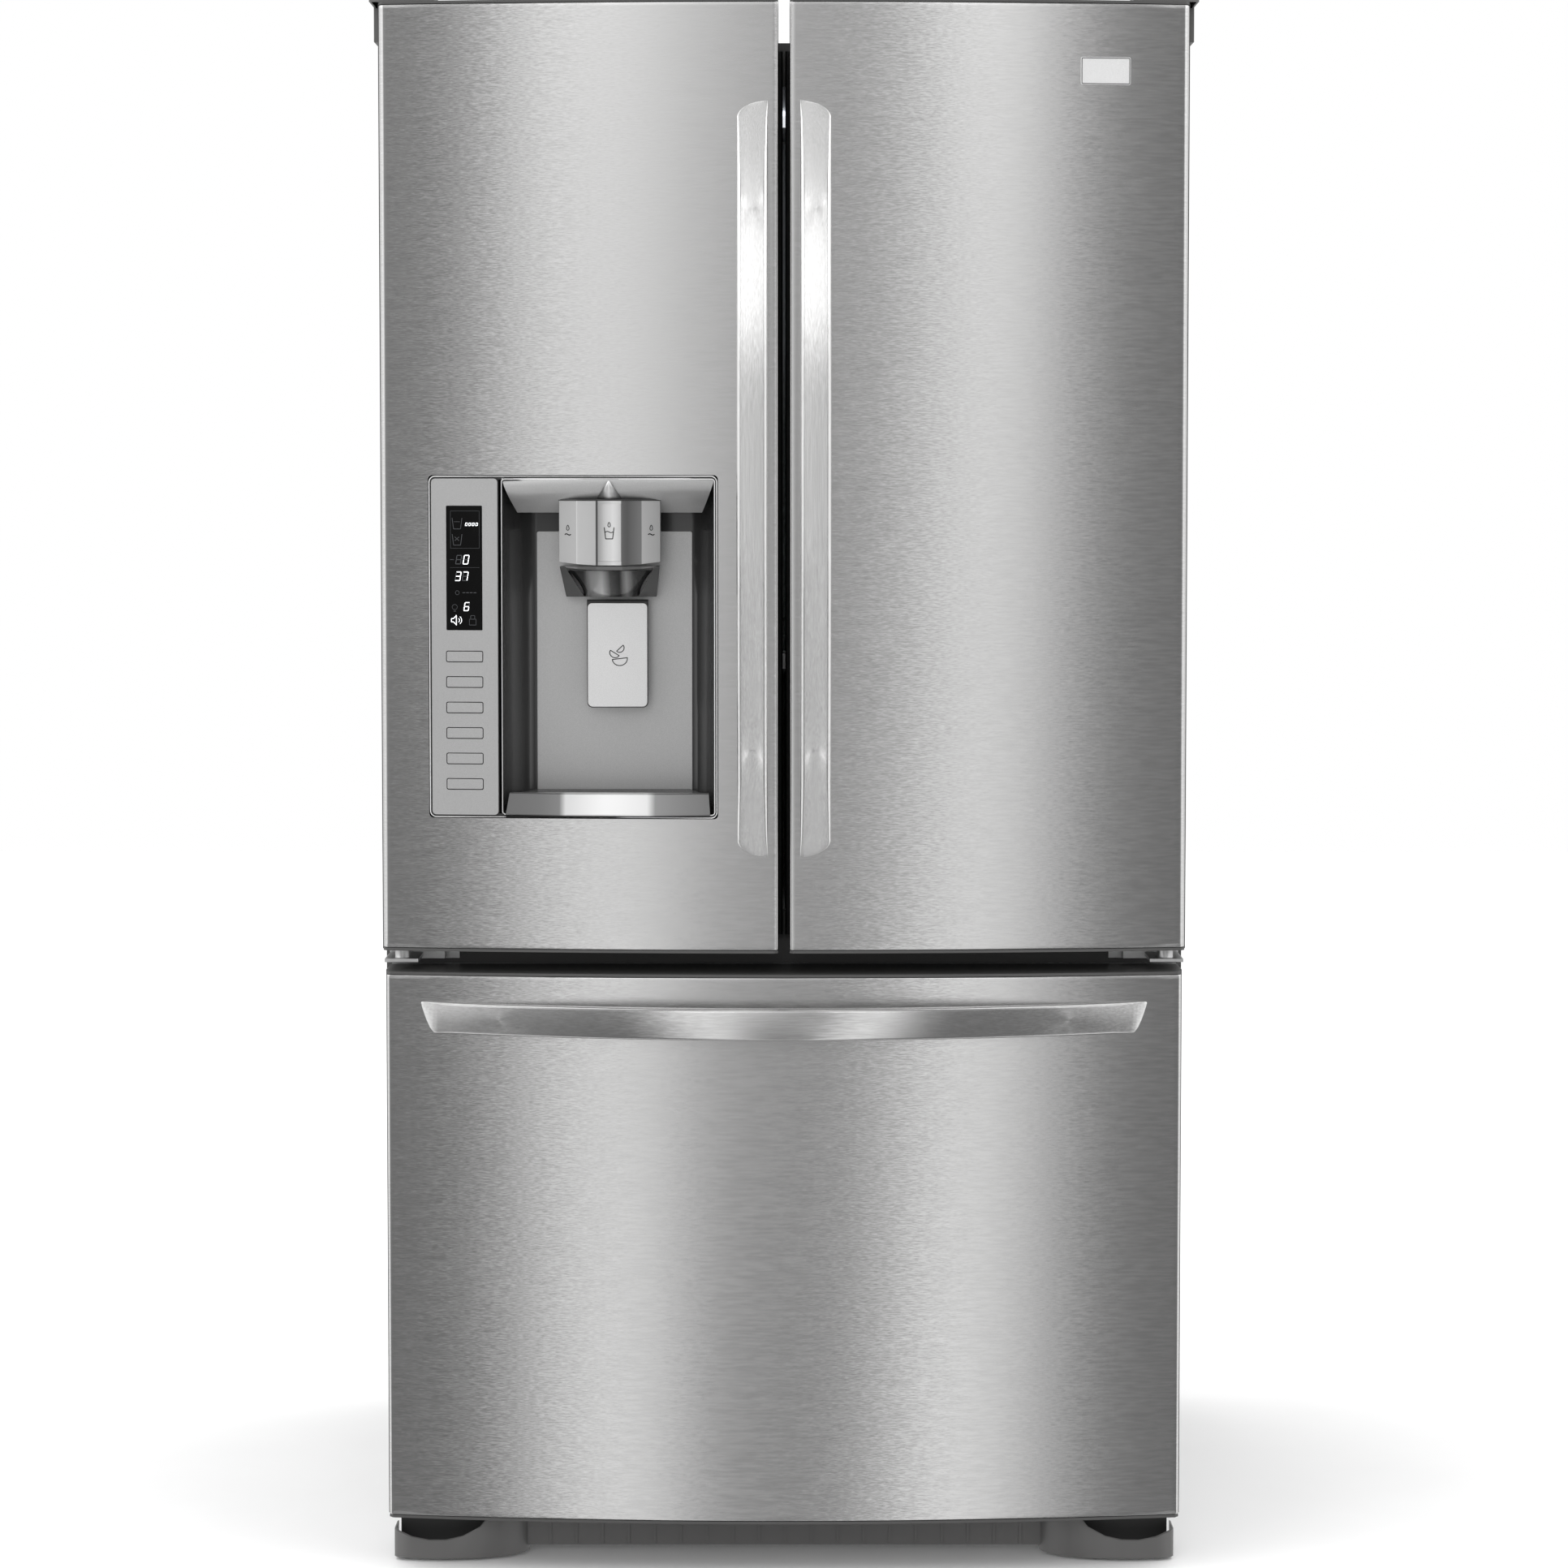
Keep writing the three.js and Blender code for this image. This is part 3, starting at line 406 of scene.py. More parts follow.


# These paint the light and dark facets of the water head, funnel, hood cone and tray lip into their
# base colour.
HEAD_SILVER_PAINTED = painted_reflections_from_head("head_silver_painted_reflections", HEAD_PAINTED_REFLECTIONS, 60)
FUNNEL_PAINTED_GLOSS = painted_reflections_from_head("funnel_painted_gloss", FUNNEL_PAINTED_HIGHLIGHTS, 48, 0.14)
CONE_SILVER_PAINTED = painted_reflections_from_head("cone_silver_painted_highlight", CONE_PAINTED_HIGHLIGHT, 16)
TRAY_SILVER_PAINTED = satin_with_painted_reflections("tray_silver_painted_reflections", TRAY_PAINTED_REFLECTIONS, -312, -80)
LIT = glowing("lit_segments", (0.95, 0.98, 1.0), 0.9)
# The unlit segments get a faint painted glow: they emit, though nothing behind them is lit.
UNLIT_PAINTED_GLOW = glowing("unlit_segments_painted_glow", (0.035, 0.037, 0.04), 0.25)
LAMP = glowing("lamp_lens", (0.93, 0.96, 1.0), 0.9)
INK = moulded_plastic("printed_ink", 0.006, 0.6)
DARK_LINE = metallic_plastic("dark_line", 0.10, 0.45, 0.6)
FOAM = cast_foam("foam")


# ---- meshes --------------------------------------------------------------------------
def place(name, bm, body, slot, material, sharp=32, ease=None):
    """Turns a bmesh in millimetres into a named piece that rides on a CAD body."""
    bmesh.ops.recalc_face_normals(bm, faces=bm.faces)
    bmesh.ops.scale(bm, vec=(MM, MM, MM), verts=bm.verts)
    mesh = bpy.data.meshes.new(name)
    bm.to_mesh(mesh)
    bm.free()
    mesh.shade_smooth()
    mesh.set_sharp_from_angle(angle=math.radians(sharp))
    mesh.materials.append(material)
    piece = bpy.data.objects.new(name, mesh)
    SCENE.collection.objects.link(piece)
    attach(piece, body)
    if ease:
        soften(piece, *ease)
    return piece


def soften(piece, width, segments=3, angle=28):
    """Eases a piece's sharp edges."""
    bevel = piece.modifiers.new("eased_edges", "BEVEL")
    bevel.width = width * MM
    bevel.segments = segments
    bevel.limit_method = "ANGLE"
    bevel.angle_limit = math.radians(angle)
    bevel.harden_normals = True
    return piece


def cad_copy(node):
    """A CAD node's solid with its flat faces whole again."""
    bm = bmesh.new()
    bm.from_mesh(NODES[node].data)
    bmesh.ops.scale(bm, vec=(1 / MM, 1 / MM, 1 / MM), verts=bm.verts)
    bmesh.ops.remove_doubles(bm, verts=bm.verts, dist=0.01)
    bmesh.ops.dissolve_limit(
        bm, angle_limit=math.radians(0.4), verts=bm.verts, edges=bm.edges
    )
    return bm


def finished(node, slot, material, width=0.8, segments=2):
    """A CAD node with eased edges and its own finish."""
    body = NODES[node]["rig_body"]
    piece = place(f"{node}_finished", cad_copy(node), body, slot, material)
    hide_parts(node)
    return soften(piece, width, segments)


def join(first, *rest):
    """One bmesh of several."""
    for other in rest:
        mesh = bpy.data.meshes.new("part")
        other.to_mesh(mesh)
        other.free()
        first.from_mesh(mesh)
        bpy.data.meshes.remove(mesh)
    return first


def block(*limits):
    """A box from x0, x1, y0, y1, z0, z1; the two of a pair may come in either order."""
    x0, x1, y0, y1, z0, z1 = limits
    low = (min(x0, x1), min(y0, y1), min(z0, z1))
    high = (max(x0, x1), max(y0, y1), max(z0, z1))
    bm = bmesh.new()
    bmesh.ops.create_cube(bm, size=1)
    for vert in bm.verts:
        vert.co = [a if part < 0 else b for part, a, b in zip(vert.co, low, high)]
    return bm


def loft(rings, cyclic=False, mouth=False):
    """A skin through rings of points, closed at its ends or back to its start.

    With mouth, its first end stays open."""
    bm = bmesh.new()
    rows = [[bm.verts.new(point) for point in ring] for ring in rings]
    count = len(rows[0])
    followers = rows[1:] + rows[:1] if cyclic else rows[1:]
    for a, b in zip(rows, followers):
        for i in range(count):
            j = (i + 1) % count
            bm.faces.new((a[i], a[j], b[j], b[i]))
    if not cyclic and not mouth:
        bm.faces.new(list(reversed(rows[0])))
    if not cyclic:
        bm.faces.new(rows[-1])
    return bm


def plate(loops, y0, y1):
    """A flat plate facing -Y: the first outline in X and Z is its rim, others are holes."""
    bm = bmesh.new()
    for loop in loops:
        verts = [bm.verts.new((x, y0, z)) for x, z in loop]
        for a, b in zip(verts, verts[1:] + verts[:1]):
            bm.edges.new((a, b))
    bmesh.ops.triangle_fill(bm, edges=bm.edges[:], use_beauty=True)
    bmesh.ops.dissolve_limit(
        bm, angle_limit=math.radians(0.5), verts=bm.verts[:], edges=bm.edges[:]
    )
    grown = bmesh.ops.extrude_face_region(bm, geom=bm.faces[:])
    moved = [part for part in grown["geom"] if isinstance(part, bmesh.types.BMVert)]
    bmesh.ops.translate(bm, vec=(0, y1 - y0, 0), verts=moved)
    return bm


def rounded(x0, x1, z0, z1, radius, steps=6):
    """A rectangle with round corners, anticlockwise from the lower right."""
    radius = max(radius, 0.02)
    centres = [
        (x1 - radius, z0 + radius, -90),
        (x1 - radius, z1 - radius, 0),
        (x0 + radius, z1 - radius, 90),
        (x0 + radius, z0 + radius, 180),
    ]
    points = []
    for cx, cz, start in centres:
        for i in range(steps + 1):
            turn = math.radians(start + 90 * i / steps)
            points.append((cx + radius * math.cos(turn), cz + radius * math.sin(turn)))
    return points


def ring(rect, radius, profile, depth=lambda x: 0.0, steps=6):
    """A profile of (inset, y) pairs swept round a rectangle with round corners."""
    x0, x1, z0, z1 = rect
    rings = []
    for inset, y in profile:
        path = rounded(
            x0 + inset, x1 - inset, z0 + inset, z1 - inset, radius - inset, steps
        )
        rings.append([(x, depth(x) + y, z) for x, z in path])
    return loft(rings, cyclic=True)


def turned(profile, centre, axis="Z", sides=32):
    """A lathed solid: (radius, height) pairs about an axis through centre."""
    rings = []
    for radius, height in profile:
        circle = []
        for i in range(sides):
            turn = 2 * math.pi * i / sides
            a = max(radius, 0.01) * math.cos(turn)
            b = max(radius, 0.01) * math.sin(turn)
            circle.append({"Z": (a, b, height), "Y": (a, height, b), "X": (height, a, b)}[axis])
        rings.append([Vector(point) + Vector(centre) for point in circle])
    return loft(rings)


def spin(bm, centre, angle, axis="Z"):
    turn = Matrix.Rotation(angle, 3, axis)
    bmesh.ops.rotate(bm, cent=centre, matrix=turn, verts=bm.verts)
    return bm


def mirror(bm):
    bmesh.ops.scale(bm, vec=(-1, 1, 1), verts=bm.verts)
    return bm


# ---- steel skins ---------------------------------------------------------------------
def spread(start, end, count):
    """Evenly spaced values from start to end, with both."""
    return [start + (end - start) * i / count for i in range(count + 1)]


def rolled_corner(x, side, radius, inset):
    """The plan of a skin's rolled corner; side is 1 at its left and -1 at its right."""
    cx = x + side * radius
    cy = ARC_Y - math.sqrt((FRONT_RADIUS - radius) ** 2 - cx * cx)
    tip = math.atan2(cy - ARC_Y, cx)
    small = max(radius - inset, 0.1)
    start, end = (-math.pi, tip) if side > 0 else (tip, 0)
    turns = spread(start, end, CORNER_STEPS)
    return [(cx + small * math.cos(turn), cy + small * math.sin(turn)) for turn in turns]


def front_profile(x0, x1, corners, back, inset, stops):
    """Plan of a curved front with rolled corners, moved inwards by inset."""
    reach = FRONT_RADIUS - inset
    points = [(x0 + inset, back[0])] + rolled_corner(x0, 1, corners[0], inset)
    for x in stops:
        turn = math.asin(x / FRONT_RADIUS)
        points.append((reach * math.sin(turn), ARC_Y - reach * math.cos(turn)))
    return points + rolled_corner(x1, -1, corners[1], inset) + [(x1 - inset, back[1])]


def rolled_rows(z0, z1, between=()):
    """Heights of a skin's rows, with how far each is rolled in at the two edges."""
    rows = []
    for i in range(5):
        turn = math.radians(22.5 * i)
        rows.append((z0 + EDGE * (1 - math.cos(turn)), EDGE * (1 - math.sin(turn))))
    rows.append((z0 + EDGE + 3, 0.0))
    top = [(z0 + z1 - z, inset) for z, inset in reversed(rows)]
    return rows + [(z, 0.0) for z in between] + top


def steel_skin(node, name, corners, hole=None, hole_radius=5.0):
    """A door or drawer front: curved sheet, rolled at every edge, with an optional hole."""
    low, high = box_of(node)
    back = (front_y(low.x) + SKIN_RETURN, front_y(high.x) + SKIN_RETURN)
    x_stops = spread(low.x + corners[0] + 4, high.x - corners[1] - 4, 40)
    z_stops = []
    if hole:
        x0, x1, z0, z1 = hole
        extra = [x0, x0 + hole_radius, x1 - hole_radius, x1]
        x_stops = sorted([x for x in x_stops if min(abs(x - e) for e in extra) > 3] + extra)
        z_stops = [z0, z0 + hole_radius, z1 - hole_radius, z1]
    bm = bmesh.new()
    rows = []
    rim = {}
    for z, inset in rolled_rows(low.z, high.z, z_stops):
        plan = front_profile(low.x, high.x, corners, back, inset, x_stops)
        row = [bm.verts.new((x, y, z)) for x, y in plan]
        rows.append(row)
        if hole and z in z_stops:
            for i, x in enumerate(x_stops):
                rim[(round(x, 3), round(z, 3))] = row[i + CORNER_STEPS + 2]
    for a, b in zip(rows, rows[1:]):
        for i in range(len(a) - 1):
            middle_x = (a[i].co.x + a[i + 1].co.x) / 2
            middle_z = (a[i].co.z + b[i].co.z) / 2
            if hole and x0 < middle_x < x1 and z0 < middle_z < z1:
                continue
            bm.faces.new((a[i], a[i + 1], b[i + 1], b[i]))
    if hole:
        corner_fans(bm, rim, hole, hole_radius)
    thicken(bm, SHEET)
    piece = place(name, bm, NODES[node]["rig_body"], "stainless_skin", STAINLESS, 50)
    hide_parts(node)


def corner_fans(bm, rim, hole, radius):
    """Fills each square corner of a hole out to its round corner."""
    x0, x1, z0, z1 = hole
    for x, z, sx, sz in ((x0, z0, 1, 1), (x1, z0, -1, 1), (x1, z1, -1, -1), (x0, z1, 1, -1)):
        corner = rim[(round(x, 3), round(z, 3))]
        arc = [rim[(round(x + sx * radius, 3), round(z, 3))]]
        for i in range(1, 5):
            turn = math.radians(18 * i)
            px = x + sx * radius * (1 - math.sin(turn))
            pz = z + sz * radius * (1 - math.cos(turn))
            arc.append(bm.verts.new((px, front_y(px), pz)))
        arc.append(rim[(round(x, 3), round(z + sz * radius, 3))])
        for a, b in zip(arc, arc[1:]):
            bm.faces.new((corner, a, b))


def thicken(bm, thickness):
    """Gives an open sheet that faces forward a thickness behind it."""
    bmesh.ops.recalc_face_normals(bm, faces=bm.faces[:])
    front = min(bm.faces, key=lambda face: face.calc_center_median().y)
    if front.normal.y > 0:
        bmesh.ops.reverse_faces(bm, faces=bm.faces[:])
    bmesh.ops.solidify(bm, geom=bm.faces[:], thickness=thickness)


# ---- doors ---------------------------------------------------------------------------
def cut_across(node, y, keep_front):
    """The part of a CAD core in front of or behind a plane across it, closed again."""
    bm = cad_copy(node)
    geometry = bm.verts[:] + bm.edges[:] + bm.faces[:]
    done = bmesh.ops.bisect_plane(
        bm,
        geom=geometry,
        plane_co=(0, y, 0),
        plane_no=(0, 1, 0),
        clear_outer=keep_front,
        clear_inner=not keep_front,
    )
    edges = [part for part in done["geom_cut"] if isinstance(part, bmesh.types.BMEdge)]
    bmesh.ops.triangle_fill(bm, edges=edges, use_beauty=True)
    bmesh.ops.dissolve_limit(
        bm, angle_limit=math.radians(0.4), verts=bm.verts[:], edges=bm.edges[:]
    )
    return bm


def foamed_body(side, node, body, gasket, ease, liner_extras=()):
    """The dark side frame and, behind it, the white inner liner of a door or the drawer."""
    split = box_of(gasket)[0].y - 5
    front = cut_across(node, split, True)
    shell = place(f"{side}_side_frame", front, body, "cabinet_paint", CASE_PAINT, ease=(0.7, 2))
    inner = join(cut_across(node, split + 0.2, False), *liner_extras)
    liner = place(f"{side}_inner_liner", inner, body, "white_liner", WHITE, ease=ease)
    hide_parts(node)
    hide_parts(node)


SEAL_WIDTH = 414  # of a door's seal, over its bellows
SEAL_REACH = 13  # width of the bellows


def seal(node, name):
    """A bellows gasket: a magnet strip at the back on folded walls, and flat flaps."""
    low, high = box_of(node)
    front, back = low.y, high.y
    folds = [(0.0, back), (0.0, back - 4), (2.0, back - 6), (0.4, back - 9), (1.5, front)]
    profile = folds + [(SEAL_REACH - inset, y) for inset, y in reversed(folds)]
    profile += [(SEAL_REACH - 1, back), (1, back)]
    left, right = low.x, high.x
    flaps = []
    if "left" in node:
        right = low.x + SEAL_WIDTH
        flaps = [(right - 1, high.x, 1.2), (high.x - 1.4, high.x, 4)]
    if "right" in node:
        left = high.x - SEAL_WIDTH
        flaps = [(low.x, left + 1, 1.2), (low.x, low.x + 1.4, 4)]
    bellows = ring((left, right, low.z, high.z), 3, profile, steps=3)
    strips = [block(x0, x1, front, front + deep, low.z + 2, high.z - 2) for x0, x1, deep in flaps]
    piece = place(name, join(bellows, *strips), NODES[node]["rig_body"], "gasket_rubber", RUBBER)
    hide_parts(node)


def section(x0, x1, y0, y1, radius, crown=0.0, steps=5):
    """A bar's section with round front corners and a slightly crowned face."""
    radius = max(min(radius, (x1 - x0) / 2 - 0.01, (y1 - y0) / 2 - 0.01), 0.01)
    points = []
    middle = (x0 + x1) / 2
    half = max((x1 - x0) / 2, 0.01)
    for x, y in rounded(x0, x1, y0, y1, radius, steps):
        if y < (y0 + y1) / 2:
            y -= crown * (1 - ((x - middle) / half) ** 2)
        points.append((x, y))
    return points


def bow_at(t, foot, rise):
    """A parabola's height at t, from foot at its two ends."""
    return foot + rise * 4 * t * (1 - t)


def door_handle(node, name, sign):
    """A tall bar bowed out of the door, its ends cut back in a curve on the outer side."""
    low, high = box_of(node)
    x_in, x_out = (low.x, high.x) if sign > 0 else (-high.x, -low.x)
    foot = high.y
    rise = low.y - foot + 0.6
    thick, cut, taper = 20.0, 19.0, 20.0
    length = high.z - low.z
    stops = [math.sin(math.pi / 2 * i / 8) for i in range(9)]
    ends = [cut * (1 - math.sqrt(max(0.0, 1 - s * s))) for s in reversed(stops)]
    near = sorted({round(cut - e, 4) for e in ends} | {0.15, 0.6})
    heights = [low.z + d for d in near] + spread(low.z + cut + 1, high.z - cut - 1, 72)
    heights += [high.z - d for d in reversed(near)]
    rings = []
    for z in heights:
        t = (z - low.z) / length
        front = bow_at(t, foot, rise)
        inner_t = (z - low.z - taper) / (length - 2 * taper)
        back = foot
        if 0 < inner_t < 1:
            back = min(foot, bow_at(inner_t, foot, rise + thick))
        depth = min(z - low.z, high.z - z)
        share = 1.0
        if depth < cut:
            share = math.sqrt(max(0.0, 1 - (1 - depth / cut) ** 2))
        outer = x_in + (x_out - x_in) * max(share, 0.06)
        loop = section(x_in, outer, front, max(back, front + 0.3), 5.0, 0.6)
        rings.append([(sign * x, y, z) for x, y in loop])
    piece = place(name, loft(rings), NODES[node]["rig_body"], "satin_handle", HANDLE, 40)
    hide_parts(node)


def drawer_handle():
    """A wide bar bowed out across the drawer, with ends that slant in below."""
    low, high = box_of("drawer_handle")
    foot = front_y(high.x) - 0.5
    rise = low.y - foot + 0.5
    thick, taper, slant = 17.0, 26.0, 16.0
    length = high.x - low.x
    tall = high.z - low.z
    near = [0.1, 0.5, 1.2, 2.2, 4, 7, 11, 15.5, 20]
    stops = [low.x + d for d in near] + spread(low.x + taper, high.x - taper, 72)
    stops += [high.x - d for d in reversed(near)]
    rings = []
    for x in stops:
        front = bow_at((x - low.x) / length, foot, rise)
        inner_t = (x - low.x - taper) / (length - 2 * taper)
        back = front_y(x) - 0.5
        if 0 < inner_t < 1:
            back = min(back, bow_at(inner_t, foot, rise + thick))
        depth = min(x - low.x, high.x - x)
        share = min(1.0, depth / slant)
        top = high.z - 2.2 * (1 - min(1.0, depth / 2.4)) ** 2
        bottom = min(high.z - tall * (1 - (1 - share) ** 1.6), top - 0.6)
        loop = section(bottom, top, front, max(back, front + 0.25), 3.6, 0.4)
        rings.append([(x, y, z) for z, y in loop])
    piece = place("drawer_pull", loft(rings), "drawer", "stainless_skin", DRAWER_BAR, 40)
    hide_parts("drawer_handle")


BADGE_PLATE = (328, 384, 1669, 1699.5)


def badge():
    """A blank bright plate with a thin raised border, high on the right door."""
    x0, x1, z0, z1 = BADGE_PLATE
    middle = (x0 + x1) / 2
    surface = front_y(middle)
    pivot = (middle, surface, z0)
    tilt = math.asin(middle / FRONT_RADIUS)
    face = spin(plate([rounded(*BADGE_PLATE, 2.0)], surface - 1.0, surface + 1.5), pivot, tilt)
    place("badge_plate", face, "right_door", "chrome_trim", BADGE, ease=(0.4, 2))
    bead = [(0, -0.8), (0.3, -1.5), (0.8, -1.5), (1.1, -0.8)]
    border = ring(
        (x0 + 0.6, x1 - 0.6, z0 + 0.6, z1 - 0.6), 1.8, [(inset, surface + y) for inset, y in bead]
    )
    place("badge_border", spin(border, pivot, tilt), "right_door", "chrome_trim", DARK_LINE)


def fronts():
    hole = (DISP_LOW.x - 0.8, DISP_HIGH.x + 0.8, DISP_LOW.z - 0.8, DISP_HIGH.z + 0.8)
    steel_skin("door_left_skin", "left_door_front", (OUTER_CORNER, INNER_CORNER), hole)
    steel_skin("door_right_skin", "right_door_front", (INNER_CORNER, OUTER_CORNER))
    steel_skin("drawer_skin", "drawer_front", (4.0, 4.0))
    door_handle("handle_left", "left_handle_bar", -1)
    door_handle("handle_right", "right_handle_bar", 1)
    drawer_handle()
    badge()


def bin_lugs(x0, x1, heights, y0, y1):
    """Pairs of small ledges on a door liner's ridge."""
    lugs = []
    for z in heights:
        for x, inward in ((x0, 7), (x1, -7)):
            lugs.append(block(x, x + inward, y0, y1, z, z + 26))
    return lugs


def door_insides():
    back = box_of("door_right_core")[1].y
    lugs = bin_lugs(55.5, 378.5, (1140, 1215, 1560), back - 44, back - 10)
    door_seal = "door_right_gasket"
    foamed_body("left", "door_left_core", "left_door", door_seal, (4.0, 4, 40))
    foamed_body("right", "door_right_core", "right_door", door_seal, (4.0, 4, 40), lugs)
    foamed_body("drawer", "drawer_core", "drawer", "drawer_gasket", (1.5, 3))
    seal("door_left_gasket", "left_door_seal")
    seal("door_right_gasket", "right_door_seal")
    seal("drawer_gasket", "drawer_seal")


# ---- dispenser -----------------------------------------------------------------------
def bezel():
    """The frame round the dispenser: an outer lip, a dark groove and a ledge inside it."""
    rect = (DISP_LOW.x, DISP_HIGH.x, DISP_LOW.z, DISP_HIGH.z)
    lip = [(0, 2.5), (0, -0.5), (0.3, -1.1), (0.7, -1.2), (1.1, -0.8), (1.1, 2.5)]
    place("bezel_lip", ring(rect, 7, lip, front_y, 8), "left_door", "silver_panel", RIM)
    groove = [(1.2, 3.0), (1.2, 0.4), (4.2, 0.4), (4.2, 3.0)]
    place("bezel_groove", ring(rect, 6.6, groove, front_y, 8), "left_door", "dark_plastic", DARK)


def to_panel(bm):
    """Moves a piece made round x = 0, y = 0 onto the control panel's face."""
    bmesh.ops.translate(bm, vec=(PANEL_X, front_y(PANEL_X), 0), verts=bm.verts)
    return spin(bm, (PANEL_X, front_y(PANEL_X), 0), PANEL_TURN)


PANEL_FACE = -1.5  # the panel's face, proud of the door
WINDOW = (-20.0, 20.0, 1065.5, 1203.5)
KEY_HALF = 20.1  # half of a key's width
KEY_REACH = 5.6  # half of a key's height
KEY_GAP = 0.9


def grown(rect, margin):
    """A rectangle made larger all round."""
    x0, x1, z0, z1 = rect
    return x0 - margin, x1 + margin, z0 - margin, z1 + margin


def key_rect(node):
    low, high = box_of(node)
    z = (low.z + high.z) / 2
    return -KEY_HALF, KEY_HALF, z - KEY_REACH, z + KEY_REACH


def control_panel():
    z0, z1 = DISP_LOW.z + 3, DISP_HIGH.z - 3
    loops = [
        rounded(-PANEL_HALF + 0.9, PANEL_HALF - 0.4, z0, z1, 4.5),
        rounded(*grown(WINDOW, 0.4), 1.2),
    ]
    loops += [rounded(*grown(key_rect(node), KEY_GAP), 2.2) for node in BUTTONS]
    face = to_panel(plate(loops, PANEL_FACE, PANEL_FACE + 3))
    panel = place("panel_face", face, "left_door", "silver_panel", SILVER, ease=(0.5, 2))
    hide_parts("control_panel")
    backing = plate([rounded(-PANEL_HALF, PANEL_HALF, z0, z1 + 1, 3.5)], 3.6, 6)
    place("panel_backing", to_panel(backing), "left_door", "dark_plastic", DARK)
    for i, node in enumerate(BUTTONS):
        cap = plate([rounded(*key_rect(node), 1.6)], PANEL_FACE - 0.25, PANEL_FACE + 3.8)
        key = place(f"key_{i + 1}", to_panel(cap), node, "silver_panel", SILVER, ease=(0.45, 2))
        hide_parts(node)


SEGMENTS = {
    "a": ((0.08, 1.0), (0.92, 1.0)),
    "b": ((1.0, 0.95), (1.0, 0.55)),
    "c": ((1.0, 0.45), (1.0, 0.05)),
    "d": ((0.08, 0.0), (0.92, 0.0)),
    "e": ((0.0, 0.45), (0.0, 0.05)),
    "f": ((0.0, 0.95), (0.0, 0.55)),
    "g": ((0.08, 0.5), (0.92, 0.5)),
}
DIGITS = {0: "abcdef", 3: "abcdg", 6: "acdefg", 7: "abc", 8: "abcdefg"}
GLYPH_FACE = PANEL_FACE + 0.45


def stroke(start, end, width, y0=GLYPH_FACE, thick=0.25):
    """A bar between two points, with pointed ends."""
    a, b = Vector(start), Vector(end)
    along = (b - a).normalized()
    side = Vector((-along.y, along.x)) * width / 2
    tip = along * width / 2
    loop = [a - tip, a + side, b + side, b + tip, b - side, a - side]
    return plate([[(p.x, p.y) for p in reversed(loop)]], y0, y0 + thick)


def digit(number, x, z, tall, lit=True):
    """A slanted seven-segment digit, or the unlit segments round it."""
    wide = tall * 0.56
    names = DIGITS[number] if lit else [s for s in SEGMENTS if s not in DIGITS[number]]
    bars = []
    for name in names:
        ends = []
        for u, v in SEGMENTS[name]:
            ends.append((x + u * wide + v * tall * 0.17, z + v * tall))
        bars.append(stroke(ends[0], ends[1], tall * 0.10))
    return bars


def outline_of(points, width, closed=True, y0=GLYPH_FACE, thick=0.25):
    """Short bars along a line of points."""
    follow = points[1:] + points[:1] if closed else points[1:]
    return [stroke(a, b, width, y0, thick) for a, b in zip(points, follow)]


def open_line(*points, width):
    return outline_of(list(points), width, closed=False)


def bar(x0, x1, z, width):
    return open_line((x0, z), (x1, z), width=width)


def bubble(x, z, wide, tall):
    """A nearly closed ring of points."""
    return [(x + wide * math.sin(a), z + tall * math.cos(a)) for a in spread(0, 5.6, 8)]


def cup_shape(x, z, wide, tall):
    return [
        (x, z + tall), (x + wide * 0.14, z), (x + wide * 0.86, z), (x + wide, z + tall),
    ]


# The lit digits: number, x, z and height.
READOUT = [
    (0, -1.5, 1139, 9.6), (3, -10.5, 1120.5, 9.6), (7, -2.5, 1120.5, 9.6), (6, -0.8, 1087, 9.0),
]
HORN = [
    (-14.8, 1074.4), (-12.4, 1074.4), (-9.2, 1071), (-9.2, 1081.6), (-12.4, 1078.2),
    (-14.8, 1078.2),
]


def lit_signs():
    """The digits, a loudspeaker with two waves and a row of four small bars."""
    bars = []
    for number in READOUT:
        bars += digit(*number)
    bars += outline_of(HORN, 0.8)
    for reach in (2.6, 5.0):
        wave = []
        for a in spread(-0.9, 0.9, 6):
            wave.append((-8.2 + reach * math.cos(a), 1076.3 + reach * math.sin(a)))
        bars += open_line(*wave, width=0.55)
    for k in range(4):
        x = 1.2 + 3.9 * k
        slab = [(x, 1181.6), (x + 0.5, 1184.6), (x + 2.5, 1184.6), (x + 2.0, 1181.6)]
        bars += outline_of(slab, 0.5)
    return bars


def unlit_signs():
    """A frame with two cups, unlit segments, a drop, dashes, a lamp and a padlock."""
    bars = outline_of([(-15.5, 1156.5), (17, 1156.5), (17, 1198), (-15.5, 1198)], 0.35)
    for z in (1178, 1160):
        bars += open_line(*cup_shape(-13.5, z, 11, 12), width=0.7)
    bars += bar(-11.5, -5, 1186, 0.5)
    bars += open_line((-10.5, 1165), (-6, 1169), width=0.7)
    bars += open_line((-6, 1165), (-10.5, 1169), width=0.7)
    bars += digit(8, -9.8, 1139, 9.6)
    for number in READOUT:
        bars += digit(*number, False)
    bars += bar(-16, -12, 1143.8, 0.7)
    bars += bar(-16, 17, 1135, 0.3)
    bars += outline_of(bubble(-8, 1107, 2.2, 2.4), 0.5)
    for k in range(4):
        bars += bar(-2 + 4.2 * k, 0.6 + 4.2 * k, 1107, 0.9)
    bars += outline_of(bubble(-11, 1091, 3, 3), 0.5)
    bars += bar(-12, -10, 1086.4, 0.8)
    bars += outline_of([(5.5, 1071), (13, 1071), (13, 1077.5), (5.5, 1077.5)], 0.6)
    bars += open_line((7, 1077.5), (7, 1081.5), (11.5, 1081.5), (11.5, 1077.5), width=0.6)
    return bars


